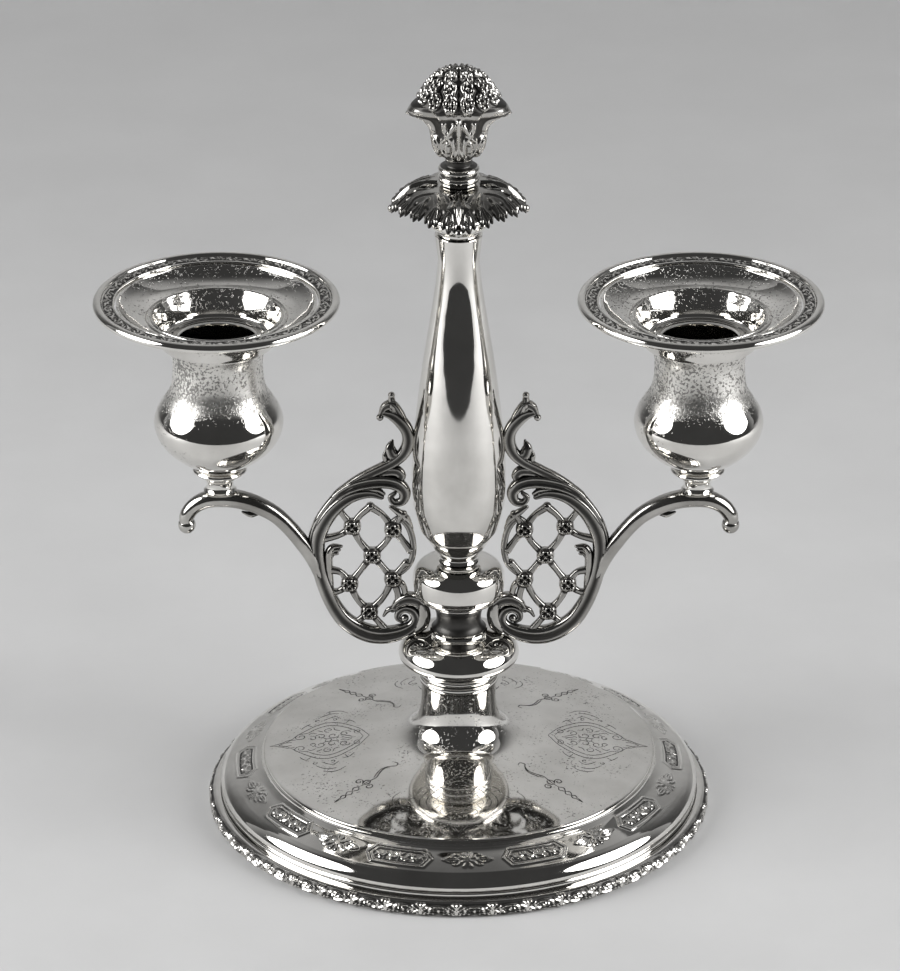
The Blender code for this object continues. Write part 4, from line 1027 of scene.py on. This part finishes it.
def shape_calyx(metal):
    """A canopy of four broad drooping leaves, with a small leaf over each joint."""
    _, _, bottom, top = node_box("leaf_calyx")
    hub = smooth([(5.6, top - 0.05), (7.2, top - 0.45), (10.5, top - 1.6), (12.0, top - 2.3)], 4)
    under = [(11.6, top - 2.9), (9.4, top - 3.9), (7.6, bottom), (ROD_HOLE, bottom),
             (ROD_HOLE, top - 0.05)]
    turn(metal, [(hub, 96, None, None), (under, 96, None, None)])
    canopy(metal, top)
    for k in range(4):
        small = FRONT + k * math.pi / 2
        blade(metal, [(6.0, top + 0.3), (9.0, top + 0.35), (12.4, top - 0.5), (15.2, top - 2.3),
                      (17.2, top - 4.6), (18.5, top - 7.2)],
              (1.2, 2.2, 3.2, 3.4, 2.9, 1.3), small, lobes=3, lobe_depth=0.42, vein=0.55,
              thick=1.0, cup=0.5, rows=44, columns=23)
        tip = np.array([math.cos(small), math.sin(small), 0.0])
        ball(metal, tuple(tip * 18.6 + (0, 0, top - 7.4)), 1.2, columns=14)
        for tilt in (-0.11, 0.11):
            side = np.array([math.cos(small + tilt), math.sin(small + tilt), 0.0])
            ball(metal, tuple(side * 17.6 + (0, 0, top - 5.7)), 0.9, columns=12)


def shape_bud(metal):
    """A dome of flower heads over a cup, whose rim flares into two long tips and four short."""
    _, _, bottom, top = node_box("finial_bud")
    dome = [(0.05, top), (3.0, top - 0.35), (6.0, top - 1.7), (8.4, top - 3.9), (9.8, top - 6.2)]
    cup = [(7.7, top - 17.0), (7.2, top - 19.2), (6.9, top - 21.4), (6.3, top - 23.4),
           (5.1, top - 25.0), (4.1, top - 25.9), (3.9, bottom)]
    plain = dome + [(10.5, top - 8.2), (10.5, top - 9.4), (9.6, top - 10.1), (8.5, top - 10.7),
                    (8.1, top - 12.0), (8.0, top - 13.4), (7.9, top - 15.0)] + cup
    flared = dome + [(11.2, top - 8.3), (12.6, top - 10.0), (13.7, top - 11.2), (14.2, top - 12.4),
                     (13.2, top - 13.5), (10.9, top - 14.0), (9.0, top - 15.2)] + cup
    outlines = [smooth(outline, 6) for outline in (plain, flared)]
    rows, columns = len(outlines[0]), 288
    theta = np.arange(columns) * math.tau / columns
    long_tip = np.abs(np.cos(theta)) ** 5
    short_tip = ridge(np.abs(around(theta, 2, 0.0)) - math.radians(58), 0.2) * 0.35
    blend = np.maximum(long_tip, short_tip)[None, :]
    radius = outlines[0][:, :1] * (1 - blend) + outlines[1][:, :1] * blend
    height = outlines[0][:, 1:] * (1 - blend) + outlines[1][:, 1:] * blend
    normals = section_normals(outlines[0])
    rise, hollow = bud_relief(theta[None, :], radius, height)
    rise[0], hollow[0] = 0.0, 0.0
    radius = radius + normals[:, :1] * rise
    height = height + normals[:, 1:] * rise
    skin = np.stack([radius * np.cos(theta), radius * np.sin(theta), height], axis=-1)[1:]
    inside = [(ROD_HOLE, bottom), (ROD_HOLE, bottom + 5.2)]
    wall = [[(r * math.cos(a), r * math.sin(a), z) for a in theta] for r, z in inside]
    points = np.vstack([[(0, 0, top)], skin.reshape(-1, 3), np.array(wall).reshape(-1, 3),
                        [(0, 0, bottom + 5.7)]])
    faces = joined_rings(0, 1, 1, columns)
    for i in range(rows):
        faces += joined_rings(1 + i * columns, columns, 1 + (i + 1) * columns, columns)
    faces += joined_rings(1 + rows * columns, columns, len(points) - 1, 1)
    marks = np.concatenate([[0], hollow[1:].ravel(), np.zeros(2 * columns + 1)])
    metal.add(points, faces, marks)


def shape_finial_collar(metal):
    """The grooved collar that the bud stands on, bored for the stud."""
    profile = [(3.8, 199.7), (3.7, 198.8), (3.9, 198.1), (5.3, 197.7), (5.75, 197.1),
               (5.7, 196.4), (5.0, 195.8), (4.9, 195.4), (5.6, 195.0), (5.8, 194.3), (5.5, 193.5)]
    _, _, bottom, top = node_box("finial_collar")
    outer = smooth(fitted(profile, "finial_collar"), 5)
    turn(metal, [(outer, 96, reeds, None),
                 ([(ROD_HOLE, bottom), (ROD_HOLE, top)], 48, None, None)])


class CANDELABRA_OT_finial(bpy.types.Operator):
    """Build the leaf calyx, the finial's collar and its chased bud"""
    bl_idname = "candelabra.finial"
    bl_label = "Calyx and finial"

    def execute(self, context):
        cast = kept("cast_oxidised_silver", cast_silver)
        calyx = Metal()
        shape_calyx(calyx)
        darken_recesses(place_piece(calyx, "acanthus_calyx", "stand", "silver", cast,
                                    "leaf_calyx", sharp=60), gain=0.9)
        collar = Metal()
        shape_finial_collar(collar)
        place_piece(collar, "finial_collar_turned", "finial", "silver",
                    kept("spun_sterling_silver", spun_silver), "finial_collar", sharp=50)
        bud = Metal()
        shape_bud(bud)
        place_piece(bud, "finial_bud_chased", "finial", "silver", cast, "finial_bud", sharp=60)
        return {"FINISHED"}


# ---------------------------------------------------------------- arms

# The right-hand arm is drawn as (distance from the column's axis, height).
DRAWN_SPOOL_FOOT = 55.2
C_SCROLL = [(22.0, 96.3), (24.8, 97.4), (28.4, 97.2), (31.9, 95.8), (35.5, 92.7), (38.1, 89.0),
            (39.9, 84.8), (40.5, 80.8), (40.3, 76.9), (39.6, 72.3), (38.3, 67.8), (36.3, 62.9),
            (33.3, 58.0), (29.2, 54.6), (25.1, 52.9), (21.0, 52.6), (16.9, 53.5), (13.6, 55.2),
            (12.3, 57.6), (13.1, 60.0), (15.2, 60.9), (17.1, 59.9), (17.6, 58.0), (16.4, 56.9)]
C_WIDTHS = (0.8, 1.3, 1.7, 2.0, 2.2, 2.3, 2.3, 2.2, 2.1, 2.1, 2.2, 2.3, 2.5, 2.7, 2.8, 2.7, 2.4,
            1.9, 1.6, 1.4, 1.2, 1.1, 0.9, 0.7)
CREST = [(41.8, 79.6), (41.6, 83.6), (39.8, 88.8), (36.5, 94.2), (32.4, 98.9), (27.8, 102.3),
         (23.2, 104.8), (18.6, 107.3), (15.7, 110.0), (14.3, 113.4), (14.5, 116.7), (16.1, 119.6),
         (18.6, 121.9), (21.2, 122.6)]
CREST_WIDTHS = (0.9, 1.4, 1.6, 1.5, 1.4, 1.5, 1.6, 1.7, 1.8, 1.9, 1.9, 2.0, 1.8, 1.0)
BRANCH = [(38.4, 66.0), (40.2, 72.0), (42.2, 77.4), (45.0, 82.2), (48.6, 87.0), (52.6, 91.0),
          (57.8, 94.0), (62.6, 95.6), (67.0, 96.1), (71.6, 95.6), (75.3, 93.6), (77.4, 90.8),
          (77.8, 88.6)]
BRANCH_WIDTHS = (0.7, 1.5, 2.0, 2.3, 2.3, 2.4, 2.6, 2.7, 2.7, 2.5, 2.3, 2.2, 2.0)
ROSETTES = [(30.4, 87.1), (18.8, 86.3), (24.8, 78.0), (31.3, 69.0), (18.9, 70.6), (25.7, 60.1)]
JOINT = (25.2, 93.4)
BARS = [
    [JOINT, (28.2, 90.6), (30.4, 87.1)], [JOINT, (21.6, 90.6), (18.8, 86.3)],
    [(30.4, 87.1), (28.4, 82.6), (24.8, 78.0)], [(18.8, 86.3), (21.0, 82.0), (24.8, 78.0)],
    [(24.8, 78.0), (28.2, 73.2), (31.3, 69.0)], [(24.8, 78.0), (21.4, 73.8), (18.9, 70.6)],
    [(31.3, 69.0), (29.2, 64.2), (25.7, 60.1)], [(18.9, 70.6), (21.6, 64.8), (25.7, 60.1)],
    [(30.4, 87.1), (33.8, 84.6), (38.4, 83.2)], [(30.4, 87.1), (33.0, 90.8), (34.6, 93.0)],
    [(31.3, 69.0), (34.4, 66.6), (37.4, 66.4)], [(31.3, 69.0), (33.6, 72.4), (36.6, 73.4)],
    [(25.7, 60.1), (28.6, 57.4), (30.6, 56.4)], [(25.7, 60.1), (23.4, 57.2), (21.4, 54.6)],
    [(18.8, 86.3), (16.0, 82.6), (14.0, 79.6)], [(18.8, 86.3), (17.2, 89.2), (15.8, 91.0)],
    [(18.9, 70.6), (16.4, 74.0), (15.0, 75.6)], [(18.9, 70.6), (17.6, 66.2), (17.2, 62.8)],
]


def arm_lift():
    """How far up the arms' drawing moves, so that its spool's foot lies on the frame's."""
    return node_box("spool")[2] - DRAWN_SPOOL_FOOT


def bar(metal, points, widths, lift, samples=5, **how):
    """A swept bar along a smooth path through the points, moved up by lift."""
    path = smooth(points, samples)
    path[:, 1] += lift
    sweep(metal, path, widths, **how)


def shape_arm(metal):
    """The cast arm, drawn for the right-hand side."""
    lift = arm_lift()
    channel = bpy.context.scene.candelabra_arms.channel
    bar(metal, C_SCROLL, C_WIDTHS, lift, depth=0.95, groove=channel, sides=24)
    bar(metal, CREST, CREST_WIDTHS, lift, depth=1.0, groove=channel, sides=20)
    bar(metal, BRANCH, BRANCH_WIDTHS, lift, depth=(1.0, 1.0, 1.0, 1.05, 1.1, 1.1, 1.1), sides=24)
    ball(metal, (77.6, 0.0, 87.6 + lift), 2.55)
    # The volute's eye, its roll and the leafy mass that meets the column.
    ball(metal, (15.5, 0.0, 57.9 + lift), 1.15)
    bar(metal, [(19.0, 60.6), (17.2, 62.9), (14.6, 64.2), (12.0, 63.6), (10.2, 61.4)],
        (0.9, 1.6, 2.1, 2.0, 1.4), lift, depth=1.1, groove=channel, sides=20)
    bar(metal, [(10.6, 62.6), (9.9, 59.4), (10.6, 56.0), (12.6, 54.0)], (1.5, 1.9, 2.0, 1.4), lift,
        depth=1.0, sides=16)
    bar(metal, [(18.6, 61.2), (20.4, 60.4), (21.6, 58.6)], (0.9, 0.8, 0.4), lift, sides=12)
    # Crest leaf with its bud, over the place where it touches the stem.
    bar(metal, [(14.8, 117.4), (16.6, 121.6), (18.9, 124.9), (20.9, 124.4), (22.1, 122.2)],
        (1.1, 1.6, 1.7, 1.3, 0.7), lift, groove=channel, sides=18)
    bar(metal, [(17.4, 121.4), (18.8, 124.8), (19.0, 127.7)], (1.2, 1.3, 0.9), lift, sides=16)
    ball(metal, (19.0, 0.0, 128.1 + lift), 1.0)
    ball(metal, (22.3, 0.0, 121.2 + lift), 1.05)
    bar(metal, [(16.6, 108.6), (18.6, 109.6), (19.4, 111.8), (18.8, 114.0)],
        (1.3, 1.8, 1.5, 0.4), lift, groove=channel, sides=16)
    bar(metal, [(20.6, 107.0), (21.0, 109.2), (20.6, 111.2)], (0.8, 0.8, 0.3), lift, sides=12)
    # The acanthus leaf over the lattice rolls into a bulb beside the stem.
    bar(metal, [(37.4, 92.6), (34.6, 96.8), (30.4, 99.6), (25.8, 101.0), (21.2, 101.4),
                (17.4, 100.4), (15.4, 97.9), (16.0, 95.2), (18.2, 94.6), (19.4, 96.2),
                (18.2, 97.6)],
        (0.8, 1.5, 1.9, 2.1, 2.2, 2.1, 1.8, 1.4, 1.1, 0.9, 0.6), lift, depth=1.05,
        groove=channel + 0.1, sides=24)
    bar(metal, [(26.4, 102.6), (21.6, 104.2), (17.9, 104.6), (16.4, 103.0), (17.2, 101.2)],
        (0.7, 1.4, 1.7, 1.5, 0.9), lift, groove=channel, sides=18)
    bar(metal, [(30.4, 97.8), (27.0, 98.9), (23.4, 98.7), (21.4, 97.4)], (0.4, 0.9, 1.0, 0.6), lift,
        sides=12)
    # The inner leaf down the C scroll's outer side, in three overlapping lobes.
    for shift, size in ((0.0, 1.0), (1.15, 0.85), (2.3, 0.65)):
        bar(metal, [(33.6 + shift * 0.5, 80.8 - shift), (36.0, 80.6 - shift),
                    (37.2, 78.4 - shift), (37.2 - shift * 0.2, 73.6), (36.7, 69.0),
                    (36.0, 64.6 + shift)],
            (0.5, 1.0 * size, 1.3 * size, 1.2 * size, 0.9 * size, 0.3), lift,
            depth=1.15 - 0.1 * shift, sides=14)
    # Fork leaf and small bud on the branch.
    bar(metal, [(40.2, 84.2), (42.2, 81.6), (43.0, 78.0), (42.2, 74.2)], (0.5, 1.3, 1.5, 0.5), lift,
        groove=channel, sides=16)
    bar(metal, [(56.4, 91.4), (59.2, 90.8), (61.6, 91.6)], (0.4, 0.9, 0.4), lift, sides=12)


def rosette(metal, x, z):
    """A four-petal flower, raised on the front and on the back of the lattice."""
    def relief(theta, radius, height):
        petal = 0.5 + 0.5 * np.cos(4 * (theta - math.pi / 4))
        ring = np.sin(math.pi * np.clip(radius / 2.75, 0, 1))
        rise = ring * (petal * 0.75 - 0.3) + 0.45 * ridge(radius, 0.45) - 0.25 * ridge(
            radius - 0.8, 0.22)
        return rise, np.clip(1 - petal * ring * 1.3, 0, 1)
    front = [(0.0, 1.65), (0.35, 1.68), (0.7, 1.55), (0.95, 1.35), (1.25, 1.55), (1.65, 1.6),
             (2.05, 1.4), (2.4, 1.0), (2.6, 0.45)]
    rows = front + [(radius, -height) for radius, height in front[::-1]]
    part = Metal()
    turn(part, [(rows, 32, relief, None)], closed=False)
    points = part.points[0]
    shaped = np.column_stack([x + points[:, 0], points[:, 2] * 1.05, z + points[:, 1]])
    metal.add(shaped, part.faces)


def shape_lattice(metal):
    """Pierced trellis of thin bars with a rosette at each crossing."""
    lift = arm_lift()
    width = bpy.context.scene.candelabra_arms.bar / MM / 2
    for points in BARS:
        bar(metal, points, (width * 1.25, width, width * 1.25), lift, depth=1.15, groove=0.2,
            sides=14)
    for x, z in ROSETTES:
        rosette(metal, x, z + lift)
    ball(metal, (JOINT[0], 0.0, JOINT[1] + lift), 1.35, columns=16)
    # The small scroll that closes the lattice beside the column.
    bar(metal, [(19.2, 88.4), (17.0, 89.6), (14.7, 87.6), (13.3, 83.6), (13.0, 79.0),
                (14.2, 75.2), (16.6, 72.6), (18.6, 71.4)],
        (0.7, 0.9, 1.0, 0.95, 0.9, 0.95, 0.9, 0.7), lift, depth=1.2, groove=0.3, sides=18)
    bar(metal, [(19.4, 93.2), (17.2, 91.6), (14.9, 89.6), (13.4, 86.6)], (0.6, 1.1, 1.1, 0.5),
        lift, sides=14)
    bar(metal, [(18.9, 70.6), (16.4, 69.0), (15.4, 66.2), (15.9, 63.8)], (0.9, 1.0, 0.9, 0.6),
        lift, sides=14)


class CANDELABRA_OT_arms(bpy.types.Operator):
    """Build the two cast arms with their scrolls, leaves and pierced lattices"""
    bl_idname = "candelabra.arms"
    bl_label = "Arms"

    def execute(self, context):
        cast = kept("cast_oxidised_silver", cast_silver)
        for side_name, side in SIDES.items():
            arm, lattice = Metal(), Metal()
            shape_arm(arm)
            shape_lattice(lattice)
            if side < 0:
                arm.mirror_x()
                lattice.mirror_x()
            darken_recesses(place_piece(arm, f"arm_{side_name}_cast", "stand", "silver", cast,
                                        f"arm_{side_name}", sharp=60))
            darken_recesses(place_piece(lattice, f"lattice_{side_name}_cast", "stand", "silver",
                                        cast, f"lattice_{side_name}", sharp=60))
        return {"FINISHED"}


# ---------------------------------------------------------------- cups and drip pans

CUP = [(14.25, 144.35), (14.2, 143.6), (13.4, 141.8), (12.8, 139.4), (12.8, 136.0), (13.1, 132.5),
       (13.9, 129.7), (15.4, 127.2), (17.2, 124.4), (18.2, 121.6), (18.3, 119.4), (17.5, 116.3),
       (15.4, 113.0), (12.6, 110.3), (10.0, 108.4), (8.4, 107.2), (7.4, 106.35)]
PEDESTAL = [(6.2, 106.05), (7.3, 105.7), (7.7, 105.1), (7.2, 104.5), (6.4, 104.1), (5.7, 103.4),
            (4.7, 102.5), (4.1, 101.5), (3.85, 100.5), (4.1, 99.5), (4.7, 98.85)]


def cup_pits(theta, radius, height):
    """The cups' necks are pitted all over, the bellies only in drifts at the sides."""
    _, _, bottom, _ = node_box("cup_left")
    level = height - bottom
    return 0.95 * step(level, 18.0, 22.5) + 0.35 * ridge(np.sin(theta - 0.6), 0.5) + 0 * radius


def shape_cup(metal, side_name):
    """A spun vase cup with a hole in its floor for the screw."""
    node = f"cup_{side_name}"
    centre_x, _, bottom, _ = node_box(node)
    outer = smooth(fitted(CUP, node), 5)
    floor = [(5.0, bottom), (SCREW_HOLE, bottom), (SCREW_HOLE, bottom + CUP_SHEET),
             (6.6, bottom + 0.78)]
    inner = sheet_section(outer, CUP_SHEET, 22)
    turn(metal, [(outer, 144, None, cup_pits), (floor, 72, None, None),
                 (inner[1:], 72, None, None)], centre_x)


def shape_pedestal(metal, side_name):
    """The saucer and waist between the branch and the cup."""
    node = f"pedestal_{side_name}"
    centre_x, _, bottom, top = node_box(node)
    outer = smooth(fitted(PEDESTAL, node), 4)
    turn(metal, [(outer, 72, None, None),
                 ([(SCREW_HOLE, bottom), (SCREW_HOLE, top)], 36, None, None)], centre_x)


def shape_nozzle(metal, side_name):
    """A dished pan over a funnel and a candle sleeve, in one spun piece."""
    centre_x, _, bottom, top = node_box(f"nozzle_{side_name}")
    seat = node_box(f"cup_{side_name}")[3] + SEAM
    floor = [(0.0, bottom + 0.8), (8.0, bottom + 0.8), (10.8, bottom + 0.85), (11.1, bottom + 1.2)]
    sleeve = [(11.1, bottom + 6.0), (11.1, seat), (11.2, seat + 0.6), (11.6, seat + 0.85),
              (13.2, seat + 0.85), (13.5, seat + 1.15), (13.9, seat + 0.95), (14.9, seat + 1.1)]
    funnel = smooth([(15.3, seat + 1.6), (15.8, seat + 3.4), (16.7, seat + 5.6),
                     (17.8, seat + 7.4)], 5)
    beads = [(18.0, seat + 7.9), (18.3, seat + 8.3), (18.7, seat + 8.2), (18.9, seat + 7.9),
             (19.2, seat + 7.85), (19.5, seat + 8.1), (19.9, seat + 8.0), (20.1, seat + 7.75)]
    dish = smooth([(20.6, seat + 7.8), (23.0, seat + 8.6), (25.6, seat + 10.1),
                   (27.2, top - 0.3)], 6)
    edge = [(27.4, top), (27.8, top), (28.2, top - 0.05), (28.2, top - 0.8)]
    under = smooth([(28.0, top - 1.0), (25.0, top - 2.9), (21.4, seat + 6.6), (19.2, seat + 6.0),
                    (17.6, seat + 3.4), (16.4, seat + 0.3)], 4)
    outside = [(16.2, seat), (11.7, seat), (11.6, seat - 0.2), (11.6, bottom + 0.4),
               (11.2, bottom), (6.0, bottom), (0.0, bottom)]
    upward = np.vstack([floor, sleeve, funnel, beads, dish, edge])
    down = np.vstack([under, outside])
    turn(metal, [(np.vstack([upward, down]), 144, None, None)], centre_x, closed=False)
    metal.pits = [0.5 * step(metal.points[0][:, 2], seat + 1.0, seat + 4.0)]


def shape_pan_border(metal, side_name):
    """A drip pan's rolled rim, with a chased band inside it."""
    centre_x, outer, bottom, top = node_box(f"pan_border_{side_name}")
    inner = outer - 6.1
    lip = [(inner, top - 1.25), (inner + 0.15, top - 0.95), (inner + 0.45, top - 0.9),
           (inner + 0.6, top - 1.05)]
    band = evenly([(inner + 0.7, top - 1.05), (inner + 3.5, top - 0.95)], 14)
    rim = smooth([(outer - 2.4, top - 0.75), (outer - 2.15, top - 0.3), (outer - 1.45, top),
                  (outer - 0.5, top - 0.35), (outer, top - 1.25), (outer - 0.4, top - 2.2),
                  (outer - 1.4, bottom)], 5)
    under = [(outer - 2.3, bottom + 0.15), (inner + 2.4, bottom + 0.2), (inner, bottom + 0.25)]
    turn(metal, [(lip, 180, None, None), (band, 720, pan_relief, None), (rim, 180, None, None),
                 (under, 180, None, None)], centre_x)


class CANDELABRA_OT_cups(bpy.types.Operator):
    """Build the cups, their pedestals and the lift-out nozzles with chased pan borders"""
    bl_idname = "candelabra.cups"
    bl_label = "Cups and drip pans"

    def execute(self, context):
        silver = kept("spun_sterling_silver", spun_silver)
        shapes = (("cup", shape_cup, "stand"), ("pedestal", shape_pedestal, "stand"),
                  ("nozzle", shape_nozzle, "drip_pan_{}"),
                  ("pan_border", shape_pan_border, "drip_pan_{}"))
        for side_name in SIDES:
            for kind, shape, body in shapes:
                metal = Metal()
                shape(metal, side_name)
                place_piece(metal, f"{kind}_{side_name}_silver", body.format(side_name), "silver",
                            silver, f"{kind}_{side_name}", sharp=45)
        return {"FINISHED"}


# ---------------------------------------------------------------- inner pieces

def fittings():
    """Finishes of the frame nodes that are shown as they are."""
    steel = linear("#6E6C69"), linear("#8A8884")
    brass = linear("#8C6F3C"), linear("#B8964F")
    pitch = linear("#120F0D"), linear("#241E19")
    baize = linear("#1F3B2C"), linear("#2F5440")
    return {
        # Mild steel, turned and left bare: grey with brown bloom.
        ("tie_rod", "rod_washer", "cup_screw_left", "cup_screw_right"): mottled_material(
            "turned_mild_steel", steel, 4.0, 0.36, 1.0, 0.3, 0.15),
        # Cast and filed brass: dull yellow, browner where handled.
        ("rod_nut", "cover_plate"): mottled_material("filed_brass", brass, 8.0, 0.34, 1.0, 0.4,
                                                     0.15),
        # Pitch poured warm into the foot: black, with a slack, slightly glossy skin.
        ("base_fill",): mottled_material("poured_pitch", pitch, 6.0, 0.42, 0.0, 2.0),
        # Wool baize glued on: fuzzy, flat green, with fibres about 0.3 mm.
        ("base_felt",): mottled_material("green_wool_baize", baize, 1.2, 0.95, 0.0, 0.3, 0.8),
        ("finial_washer",): kept("spun_sterling_silver", spun_silver),
    }


class CANDELABRA_OT_fittings(bpy.types.Operator):
    """Give the rod, nut, washers, screws, pitch, cover plate and baize their finishes"""
    bl_idname = "candelabra.fittings"
    bl_label = "Inner fittings"

    def execute(self, context):
        for nodes, material in fittings().items():
            for node in nodes:
                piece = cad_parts[node]
                for slot in piece.material_slots:
                    slot.material = material
        return {"FINISHED"}


# ---------------------------------------------------------------- studio, in metres

# The sweep from front to back: distance behind the piece, height, and half the width there.
SWEEP = [(-0.62, 0.0, 1.2), (0.85, 0.0, 1.2), (0.86, 0.0, 3.0), (1.05, 0.03, 3.0),
         (1.22, 0.12, 3.0), (1.33, 0.3, 3.0), (1.38, 0.6, 3.0), (1.4, 2.2, 3.0)]
# A big round softbox on each side, a little in front of the piece and above it.
SOFTBOX_PLACE = Vector((0.98, -0.20, 0.58))
SOFTBOX_WIDTH = 0.9
SOFTBOX_AIM = (0.0, 0.0, 0.09)
# A strip light turned to the backdrop.
STRIP_PLACE, STRIP_AIM = (0.0, 0.7, 1.4), (0.0, 1.4, 1.25)
STRIP_SIZE = (1.8, 0.4)
STRIP_SHARE = 0.35             # of a softbox's power
SURROUND = 0.7                 # brightness of the pale surround where the camera sees it
CAMERA_PLACE = (0.0, -1.4134, 0.7562)
CAMERA_TILT = math.radians(65.094)
CAMERA_LENS, CAMERA_SENSOR = 203.0, 36.0    # mm
CAMERA_SHIFT = -0.009


def see_from_behind(tree):
    """Lets the sweep be looked through from its outer side, so it hides the piece from no view."""
    output = tree.nodes["Material Output"]
    paper = output.inputs["Surface"].links[0].from_socket
    outer = add_node(tree, "ShaderNodeNewGeometry").outputs["Backfacing"]
    clear = add_node(tree, "ShaderNodeBsdfTransparent").outputs[0]
    sides = add_node(tree, "ShaderNodeMixShader", links={0: outer, 1: paper, 2: clear})
    tree.links.new(sides.outputs[0], output.inputs["Surface"])


def sweep_floor(colour):
    """A pale floor that curves up into a backdrop far behind the piece."""
    mesh = bpy.data.meshes.new("studio_sweep")
    points = [(side * half, y, z) for y, z, half in SWEEP for side in (-1, 1)]
    mesh.from_pydata(points, [], [(2 * i, 2 * i + 1, 2 * i + 3, 2 * i + 2)
                                  for i in range(len(SWEEP) - 1)])
    mesh.shade_smooth()
    # Matt background paper: even, with a faint cloudiness some centimetres across.
    cloudy = (*[c * 0.96 for c in colour], 1.0)
    material = mottled_material("matt_background_paper", (cloudy, (*colour, 1.0)), 60.0, 0.75,
                                0.0, 0.8, 0.05)
    see_from_behind(material.node_tree)
    mesh.materials.append(material)
    floor = bpy.data.objects.new("studio_sweep", mesh)
    bpy.context.scene.collection.objects.link(floor)


def add_light(name, place, target, power, width, depth=None):
    """An area light aimed at a point: a round one, or a rectangle if it has a depth."""
    light = bpy.data.lights.new(name, "AREA")
    light.shape = "RECTANGLE" if depth else "DISK"
    light.size = width
    if depth:
        light.size_y = depth
    light.energy = power
    lamp = bpy.data.objects.new(name, light)
    lamp.location = place
    lamp.rotation_euler = (Vector(target) - Vector(place)).to_track_quat("-Z", "Y").to_euler()
    lamp.visible_camera = False
    bpy.context.scene.collection.objects.link(lamp)


def dark_room(level):
    """A world that is dim in front and overhead, and lighter behind the piece."""
    world = bpy.data.worlds.new("dark_studio")
    world.use_nodes = True
    tree = world.node_tree
    direction = add_node(tree, "ShaderNodeTexCoord").outputs["Generated"]
    split = add_node(tree, "ShaderNodeSeparateXYZ", links={"Vector": direction})
    behind = add_node(tree, "ShaderNodeMapRange",
                      {"From Min": 0.08, "From Max": 0.55, "To Min": level, "To Max": level * 9,
                       "interpolation_type": "SMOOTHSTEP"}, {"Value": split.outputs["Y"]})
    # Seen directly it is a plain pale surround, which puts no light on the piece.
    seen = add_node(tree, "ShaderNodeLightPath").outputs["Is Camera Ray"]
    strength = add_node(tree, "ShaderNodeMix", {"data_type": "FLOAT", 3: SURROUND},
                        {0: seen, 2: behind.outputs[0]})
    tree.links.new(strength.outputs[0], tree.nodes["Background"].inputs["Strength"])
    tree.nodes["Background"].inputs["Color"].default_value = (1.0, 1.0, 1.0, 1.0)
    return world


class CANDELABRA_OT_stage(bpy.types.Operator):
    """Set up the pale sweep, the softboxes, the dark room and the camera"""
    bl_idname = "candelabra.stage"
    bl_label = "Stage"

    def execute(self, context):
        studio = context.scene.candelabra_studio
        sweep_floor(studio.floor)
        for name, side in SIDES.items():
            add_light(f"softbox_{name}", SOFTBOX_PLACE * Vector((side, 1, 1)), SOFTBOX_AIM,
                      studio.softbox_power, SOFTBOX_WIDTH)
        add_light("backdrop_light", STRIP_PLACE, STRIP_AIM, studio.softbox_power * STRIP_SHARE,
                  *STRIP_SIZE)
        context.scene.world = dark_room(studio.room)
        context.scene.view_settings.view_transform = "Standard"
        camera = bpy.data.cameras.new("camera")
        camera.lens, camera.sensor_width = CAMERA_LENS, CAMERA_SENSOR
        camera.shift_x = CAMERA_SHIFT
        camera.clip_end = 20.0
        viewer = bpy.data.objects.new("camera", camera)
        viewer.location = CAMERA_PLACE
        viewer.rotation_euler = (CAMERA_TILT, 0.0, 0.0)
        context.scene.collection.objects.link(viewer)
        context.scene.camera = viewer
        return {"FINISHED"}


# ---------------------------------------------------------------- add-on

OPERATORS = (CANDELABRA_OT_foot, CANDELABRA_OT_column, CANDELABRA_OT_finial, CANDELABRA_OT_arms,
             CANDELABRA_OT_cups, CANDELABRA_OT_fittings, CANDELABRA_OT_stage)


class CANDELABRA_PT_panel(bpy.types.Panel):
    """The candelabra's settings and the operators that build it"""
    bl_label = "Silver candelabra"
    bl_idname = "CANDELABRA_PT_panel"
    bl_space_type = "VIEW_3D"
    bl_region_type = "UI"
    bl_category = "Candelabra"

    def draw(self, context):
        for setting, group in SETTINGS.items():
            box = self.layout.box()
            for name in group.__annotations__:
                box.prop(getattr(context.scene, setting), name)
        for operator in OPERATORS:
            self.layout.operator(operator.bl_idname)


def register():
    """Registers the settings, the operators and the panel, and hangs the settings on the scene."""
    for group in (*SETTINGS.values(), *OPERATORS, CANDELABRA_PT_panel):
        bpy.utils.register_class(group)
    for setting, group in SETTINGS.items():
        setattr(bpy.types.Scene, setting, bpy.props.PointerProperty(type=group))


def unregister():
    """Takes the settings off the scene and removes the classes."""
    for setting in SETTINGS:
        delattr(bpy.types.Scene, setting)
    for group in (CANDELABRA_PT_panel, *reversed(OPERATORS), *reversed(SETTINGS.values())):
        bpy.utils.unregister_class(group)


def main():
    """Builds every piece and the stage."""
    register()
    bpy.ops.candelabra.foot()
    bpy.ops.candelabra.column()
    bpy.ops.candelabra.finial()
    bpy.ops.candelabra.arms()
    bpy.ops.candelabra.cups()
    bpy.ops.candelabra.fittings()
    bpy.ops.candelabra.stage()


if __name__ == "__main__":
    main()
